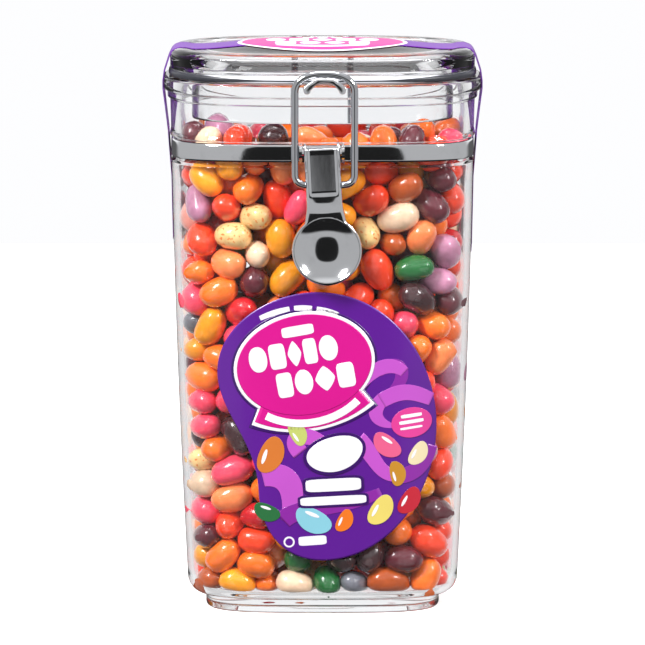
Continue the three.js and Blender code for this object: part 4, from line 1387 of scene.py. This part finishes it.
@dataclass
class BeanHeap:
    """The beans, packed against the wall and against one another, over a smaller core."""

    count: int = 610
    seed: int = 36
    mid_radius: float = 4.95
    end_radius: float = 4.3
    reach: float = 2.45
    rows: int = 9
    sides: int = 16
    core_depth: float = 21.0
    skirt_limit: float = 168.7
    crown_limit: float = 172.6
    settle_steps: int = 260

    def inner_half(self, z: np.ndarray) -> np.ndarray:
        """Half width of the tub's inside at a height, with its rounded heel."""
        f = FORM
        t = np.clip((z - f.floor_height) / (f.heel_height - f.floor_height), 0, 1)
        heel = f.foot_half + 0.6 - f.wall + (f.heel_half - f.foot_half - 0.6) * np.sqrt(1 - (1 - t) ** 2)
        wall = np.minimum(f.wall_half(z), f.mouth_half + f.wall) - f.wall
        return np.where(z < f.heel_height, heel, wall)

    def wall_push(self, p: np.ndarray, radius: np.ndarray, inset: float) -> np.ndarray:
        """How far spheres must move to stay inside the wall, or outside the core if inset is given.

        The distance to the ring is (1 - g) / |grad g| for the gauge g of the ring at the sphere's height.

        Args:
            p: Sphere centres.
            radius: Their radii.
            inset: 0 for the wall, or how deep inside it the core starts.

        Returns:
            A move for each sphere.
        """
        z = np.clip(p[:, 2], FORM.floor_height + 1, 175)
        a = self.inner_half(z) - inset
        b = FORM.half_depth(self.inner_half(z), z) - inset * 0.92
        n = FORM.squareness(z)
        x, y = p[:, 0], p[:, 1]
        sx, sy = np.abs(x / a) + 1e-9, np.abs(y / b) + 1e-9
        g = (sx ** n + sy ** n) ** (1 / n)
        gx = np.sign(x) * (sx / g) ** (n - 1) / a
        gy = np.sign(y) * (sy / g) ** (n - 1) / b
        size = np.hypot(gx, gy) + 1e-9
        gap = (1 - g) / size
        if inset == 0:
            amount = -np.clip(radius - gap, 0, None)
        else:
            amount = np.clip(radius + gap, 0, None)
            amount *= (z > FORM.floor_height + 16) & (z < self.skirt_limit - 14)
        return np.stack([gx / size * amount, gy / size * amount, np.zeros_like(x)], 1)

    def lid_limit(self, p: np.ndarray) -> np.ndarray:
        """Highest level for a sphere: lower under the skirt's edge, higher inside the skirt."""
        lid = Lid()
        inside = FORM.gauge(p[:, 0], p[:, 1], lid.plug_half - lid.plug_wall - 3.5, lid.plug_bottom) < 1
        return np.where(inside, self.crown_limit, self.skirt_limit)

    def pack(self, rng: np.random.Generator) -> tuple[np.ndarray, np.ndarray]:
        """Packs the beans by moving overlapping ones apart while their size grows and they sink.

        Each bean is three spheres on the line between its two end points; a sphere's move is shared between
        the end points by its place on the line, then their distance is restored.

        Args:
            rng: The source of random numbers.

        Returns:
            The end points of every bean and each bean's size factor.
        """
        size = np.clip(rng.normal(1.0, 0.055, self.count), 0.86, 1.14)
        long = self.reach * size * np.clip(rng.normal(1.0, 0.12, self.count), 0.7, 1.3)
        centre = np.empty((0, 3))
        while len(centre) < self.count:
            trial = rng.uniform([-46, -30, 8], [46, 30, 168], (4 * self.count, 3))
            none = np.zeros(len(trial))
            ok = (np.abs(self.wall_push(trial, none + 4, 0)).sum(1) == 0)
            ok &= np.abs(self.wall_push(trial, none, self.core_depth)).sum(1) == 0
            centre = np.concatenate([centre, trial[ok]])
        centre = centre[:self.count]
        axis = rng.normal(size=(self.count, 3))
        axis /= np.linalg.norm(axis, axis=1, keepdims=True)
        ends = np.stack([centre + axis * long[:, None], centre - axis * long[:, None]], 1)
        weights = np.array([[1.0, 0.0], [0.5, 0.5], [0.0, 1.0]])
        owner = np.repeat(np.arange(self.count), 3)
        full = np.stack([self.end_radius * size, self.mid_radius * size, self.end_radius * size], 1).ravel()
        first = second = np.empty(0, int)
        for step in range(self.settle_steps):
            grown = full * (0.72 + 0.28 * min(1.0, step / (0.55 * self.settle_steps)))
            if step % 6 == 0:
                p = np.einsum("kj,njd->nkd", weights, ends).reshape(-1, 3).astype(np.float32)
                square = (p * p).sum(1)
                near = square[:, None] + square[None] - 2 * p @ p.T < (2 * self.mid_radius * 1.14 + 1.2) ** 2
                first, second = np.nonzero(np.triu(near, 1))
                apart = owner[first] != owner[second]
                first, second = first[apart], second[apart]
            drift = 0.05 if step < 0.8 * self.settle_steps else 0.0
            ends[:, :, 2] -= drift
            flat = ends[:, :, :2].mean(1)
            length = np.linalg.norm(flat, axis=1, keepdims=True) + 1e-6
            ends[:, :, :2] += (flat / length * drift * 1.4)[:, None]
            p = np.einsum("kj,njd->nkd", weights, ends).reshape(-1, 3)
            delta = p[first] - p[second]
            distance = np.linalg.norm(delta, axis=1) + 1e-9
            overlap = np.clip(grown[first] + grown[second] - distance, 0, None)
            shove = delta * (overlap / distance * 0.5)[:, None]
            move = np.stack([np.bincount(first, part, len(p)) - np.bincount(second, part, len(p))
                             for part in shove.T], 1)
            hits = np.bincount(first, overlap > 0, len(p)) + np.bincount(second, overlap > 0, len(p))
            move /= np.maximum(hits * 0.55, 1)[:, None]
            p = p + move
            fix = self.wall_push(p, grown, 0) + self.wall_push(p, grown * 0.4, self.core_depth)
            fix[:, 2] += np.clip(FORM.floor_height + grown - p[:, 2], 0, None)
            fix[:, 2] -= np.clip(p[:, 2] + grown - self.lid_limit(p), 0, None)
            move = (move + fix).reshape(-1, 3, 3)
            ends += np.einsum("kj,nkd->njd", weights, move) / 1.25
            middle = ends.mean(1)
            half = (ends[:, 0] - ends[:, 1]) / 2
            half *= (long / np.linalg.norm(half, axis=1))[:, None]
            ends = np.stack([middle + half, middle - half], 1)
        LOG.info("beans packed, mean overlap %.3f mm", overlap[overlap > 0].mean())
        return ends, size

    def shapes(self, ends: np.ndarray, size: np.ndarray, rng: np.random.Generator) -> np.ndarray:
        """Surface points of every bean at once.

        Along its axis a bean's radius is R (1 - |u|^2.5)^(1/2.1), its middle line bends a little, it is a
        little flat to one side, and three slow waves round it make each one uneven.

        Args:
            ends: End points of each bean.
            size: Size factor of each bean.
            rng: The source of random numbers.

        Returns:
            Points of each bean: rings first, then its two poles.
        """
        n = len(ends)
        middle = ends.mean(1)
        axis = (ends[:, 0] - ends[:, 1]) / 2
        reach = np.linalg.norm(axis, axis=1)
        axis /= reach[:, None]
        spare = rng.normal(size=(n, 3))
        side = np.cross(axis, spare)
        side /= np.linalg.norm(side, axis=1, keepdims=True)
        up = np.cross(axis, side)
        half_long = reach + self.end_radius * size
        u = np.sin(np.linspace(-np.pi / 2, np.pi / 2, self.rows + 2)[1:-1])[None, :, None]
        t = np.linspace(0, 2 * np.pi, self.sides, endpoint=False)[None, None]
        phase = rng.uniform(0, 2 * np.pi, (3, n, 1, 1))
        waves = (0.022 * np.sin(2 * t + 1.5 * u + phase[0]) + 0.015 * np.sin(3 * t - 2.5 * u + phase[1])
                 + 0.02 * np.sin(t + 3 * u + phase[2]))
        taper = 1 + 0.06 * np.sin(phase[2]) * u
        swell = (1 - np.abs(u) ** 2.5) ** (1 / 2.1)
        radius = (self.mid_radius * size)[:, None, None] * swell * (1 + waves) * taper
        flat = 1 - 0.04 * (1 + np.cos(phase[0]))
        bend = (0.4 * rng.uniform(0.1, 1.3, n))[:, None, None] * (1 - 2 * u * u)
        along = np.broadcast_to(half_long[:, None, None] * u, (n, self.rows, self.sides))
        points = (middle[:, None, None] + along[..., None] * axis[:, None, None]
                  + (radius * np.cos(t) + bend)[..., None] * side[:, None, None]
                  + (radius * np.sin(t) * flat)[..., None] * up[:, None, None])
        sag = side * bend[:, 0, 0, None]
        tip = axis * half_long[:, None]
        tips = np.stack([middle - tip - sag, middle + tip - sag], 1)
        return np.concatenate([points.reshape(n, -1, 3), tips], 1)

    def build(self) -> None:
        """Packs the beans and makes one piece for each flavour, and the core behind them."""
        rng = np.random.default_rng(self.seed)
        ends, size = self.pack(rng)
        points = self.shapes(ends, size, rng)
        shares = np.array([f.share for f in FLAVOURS])
        kind = rng.choice(len(FLAVOURS), self.count, p=shares / shares.sum())
        tone = np.clip(rng.normal(0.5, 0.24, self.count), 0, 1)
        faces = capped_faces(self.rows, self.sides)
        per = self.rows * self.sides + 2
        for number, flavour in enumerate(FLAVOURS):
            mine = np.nonzero(kind == number)[0]
            rows = [[v + k * per for v in face] for k in range(len(mine)) for face in faces]
            piece = outward(make_mesh(f"beans_{flavour.name}", points[mine], rows))
            tones = piece.data.attributes.new("tone", "FLOAT", "POINT")
            tones.data.foreach_set("value", np.repeat(tone[mine], per))
            shell = BeanShell(flavour.name, flavour.hue, flavour.speckle).make()
            dress(piece, shell, JAR, "bean_shell", "beans")
        self.build_core()

    def build_core(self) -> None:
        """The heart of the heap: squared rings well inside the wall, rippled like packed beans, in a dark
        red-brown that is painted shade for the beans deep in the gaps.
        """
        z = np.concatenate([[FORM.floor_height + 14], np.linspace(FORM.floor_height + 16, 148, 40), [151.0]])
        half = self.inner_half(z) - self.core_depth - 3
        rings = FORM.section(half, z, 64)
        turn = np.arctan2(rings[..., 1], rings[..., 0])
        ripple = 1 + 0.06 * np.cos(9 * turn + np.sin(z * 0.4)[:, None]) * np.cos(z * 0.65)[:, None]
        rings[..., :2] *= ripple[..., None]
        rings[..., 1] *= 0.8
        poles = np.array([[0, 0, z[0] - 1], [0, 0, z[-1] + 1]])
        vertices = np.concatenate([rings.reshape(-1, 3), poles])
        piece = outward(make_mesh("shaded_heap_core", vertices, capped_faces(len(z), 64)))
        # The core stands for the inner beans; its dark red-brown is painted shade.
        dress(piece, BeanShell("core", linear(120, 40, 24)).make(), JAR, "bean_shell", "beans")


# ---- studio -----------------------------------------------------------------------------------------


@dataclass
class Studio:
    """Pale floor, soft lamps and the camera."""

    distance: float = 2.2
    eye_height: float = 0.4274
    pitch: float = 8.545
    lens: float = 359.86
    floor_side: float = 0.6
    floor_front: float = 0.3
    floor_back: float = 0.9
    ambient: float = 0.8
    gloom: float = 0.015
    panel: float = 0.5
    camera_dip: float = 0.15
    dark_reach: float = 0.2
    shade: float = 0.72

    def camera(self) -> None:
        """Places the camera in front of the jar, looking slightly down."""
        data = bpy.data.cameras.new("camera")
        data.lens, data.sensor_width = self.lens, 36.0
        data.clip_end = 50.0
        eye = bpy.data.objects.new("camera", data)
        eye.location = (0.0, -self.distance, self.eye_height)
        eye.rotation_euler = (math.radians(90 - self.pitch), 0.0, 0.0)
        bpy.context.scene.collection.objects.link(eye)
        bpy.context.scene.camera = eye

    def floor(self) -> None:
        """Lays the paper floor."""
        x, front, back = self.floor_side, -self.floor_front, self.floor_back
        mesh = bpy.data.meshes.new("paper_floor")
        mesh.from_pydata([(-x, front, 0), (x, front, 0), (x, back, 0), (-x, back, 0)], [], [(0, 1, 2, 3)])
        paper = bpy.data.objects.new("paper_floor", mesh)
        bpy.context.scene.collection.objects.link(paper)
        mesh.materials.append(StudioPaper().make())

    def lamp(self, name: str, place: Colour, size: tuple[float, float], power: float) -> None:
        """Adds a soft rectangular lamp that faces the middle of the jar.

        Args:
            name: The lamp's name.
            place: Where it stands, in metres.
            size: Its width and height.
            power: Its power in watts.
        """
        data = bpy.data.lights.new(name, "AREA")
        data.shape = "RECTANGLE"
        data.size, data.size_y = size
        data.energy = power
        lamp = bpy.data.objects.new(name, data)
        lamp.location = place
        away = np.array(place) - np.array([0.0, 0.0, 0.1])
        away /= np.linalg.norm(away)
        yaw = math.atan2(away[0], -away[1])
        lamp.rotation_euler = (math.acos(away[2]), 0.0, yaw)
        bpy.context.scene.collection.objects.link(lamp)

    def world(self) -> None:
        """A bright room for soft light, with a dark column fore and aft that only mirrors see."""
        world = bpy.data.worlds.new("studio")
        bpy.context.scene.world = world
        g = Graph("studio", world)
        way = g.node("ShaderNodeTexCoord", {}, {}, "Generated")
        x, y, z = (g.node("ShaderNodeSeparateXYZ", {}, {0: way}, axis) for axis in "XYZ")
        aside = x.math("ABSOLUTE")
        path = g.node("ShaderNodeLightPath", {}, {}, "Is Camera Ray")
        through, bounced, entered = (Signal(g, path.socket.node.outputs[name]) for name in
                                     ("Is Transmission Ray", "Glossy Depth", "Transmission Depth"))
        mirrored = bounced.math("MINIMUM", 1.0)
        inside, beyond = entered.math("MINIMUM", 1.0), (entered - 3).math("MINIMUM", 1.0).maximum(0.0)
        off = (z + self.camera_dip) * 0.85
        spread = (x * x * x * x + off * off * off * off).math("SQRT").math("SQRT")
        front = 1 - y.ramp(-0.4, -0.2)
        spot = (1 - spread.ramp(self.dark_reach, self.dark_reach + 0.03)) * front
        under = 1 - z.ramp(-0.70, -0.60)
        far = y.ramp(0.5, 0.8)
        behind = far * (1 - z.ramp(-0.04, 0.04)) * 0.8
        in_chrome = self.gloom + (1 - spot.maximum(under).maximum(behind)) * (
            self.panel + z.ramp(0.75, 0.9) * 0.35 + far * z.ramp(-0.04, 0.04) * 0.5)
        in_plastic = (0.92 - aside.ramp(0.55, 0.95) * 0.30 - under * 0.25) * (
            1 - beyond * self.shade * (1 - y.ramp(-0.1, 0.2)) * (1 - z.ramp(0.2, 0.5)))
        straight = 1.0 - aside.ramp(0.42, 0.9) * 0.42 - z.ramp(0.45, 0.9) * 0.10
        seen = path + (1 - path) * straight
        direct = path.maximum(through * (1 - mirrored))
        around = self.ambient * (0.35 + z.ramp(-0.6, 0.5) * 0.65)
        returned = inside * in_plastic + (1 - inside) * in_chrome
        tone = direct * seen + (1 - direct) * (mirrored * returned + (1 - mirrored) * around)
        air = g.node("ShaderNodeBackground", {}, {"Color": (0.985, 0.988, 1.0), "Strength": tone})
        out = g.tree.nodes.new("ShaderNodeOutputWorld")
        g.tree.links.new(air.socket, out.inputs["Surface"])

    def build(self) -> None:
        """Sets up the whole studio and how light is traced and shown."""
        self.floor()
        self.world()
        self.lamp("key_left", (-1.1, -1.1, 1.45), (0.42, 0.62), 66.0)
        self.lamp("key_right", (1.25, -0.9, 1.0), (0.22, 0.46), 26.0)
        self.lamp("top", (0.0, -0.1, 1.8), (0.9, 0.5), 14.0)
        scene = bpy.context.scene
        scene.view_settings.view_transform = "Standard"
        scene.cycles.max_bounces = 20
        scene.cycles.transmission_bounces = 16
        scene.cycles.transparent_max_bounces = 24
        scene.cycles.caustics_refractive = False
        scene.cycles.caustics_reflective = False
        scene.cycles.sample_clamp_indirect = 6.0


def main() -> None:
    """Builds the studio and every piece of the jar in order."""
    logging.basicConfig(level=logging.INFO, format="%(name)s: %(message)s")
    studio = Studio()
    studio.camera()
    studio.build()
    clear = ClearPlastic().make()
    sheet = Chrome("chrome_sheet").make()
    satin = Chrome("chrome_satin", (0.76, 0.77, 0.79), (1.0, 1.0, 0.12), 0.06).make()
    # The wire's chrome is a darker copy of the sheet's: painted dark reflection for the dark surroundings the
    # thin wire mirrors.
    wire = Chrome("chrome_wire", (0.60, 0.61, 0.64), polish=0.03).make()
    Tub().build(clear)
    Lid().build(clear)
    Bands().build(SealingRubber().make(), sheet)
    Clasp().build(sheet, satin, wire)
    FrontLabel().build(PrintedFilm("label_film").make())
    SealStrip().build(PrintedFilm("seal_film", 0.34, 0.2, 0.08).make())
    BeanHeap().build()


if __name__ == "__main__":
    main()
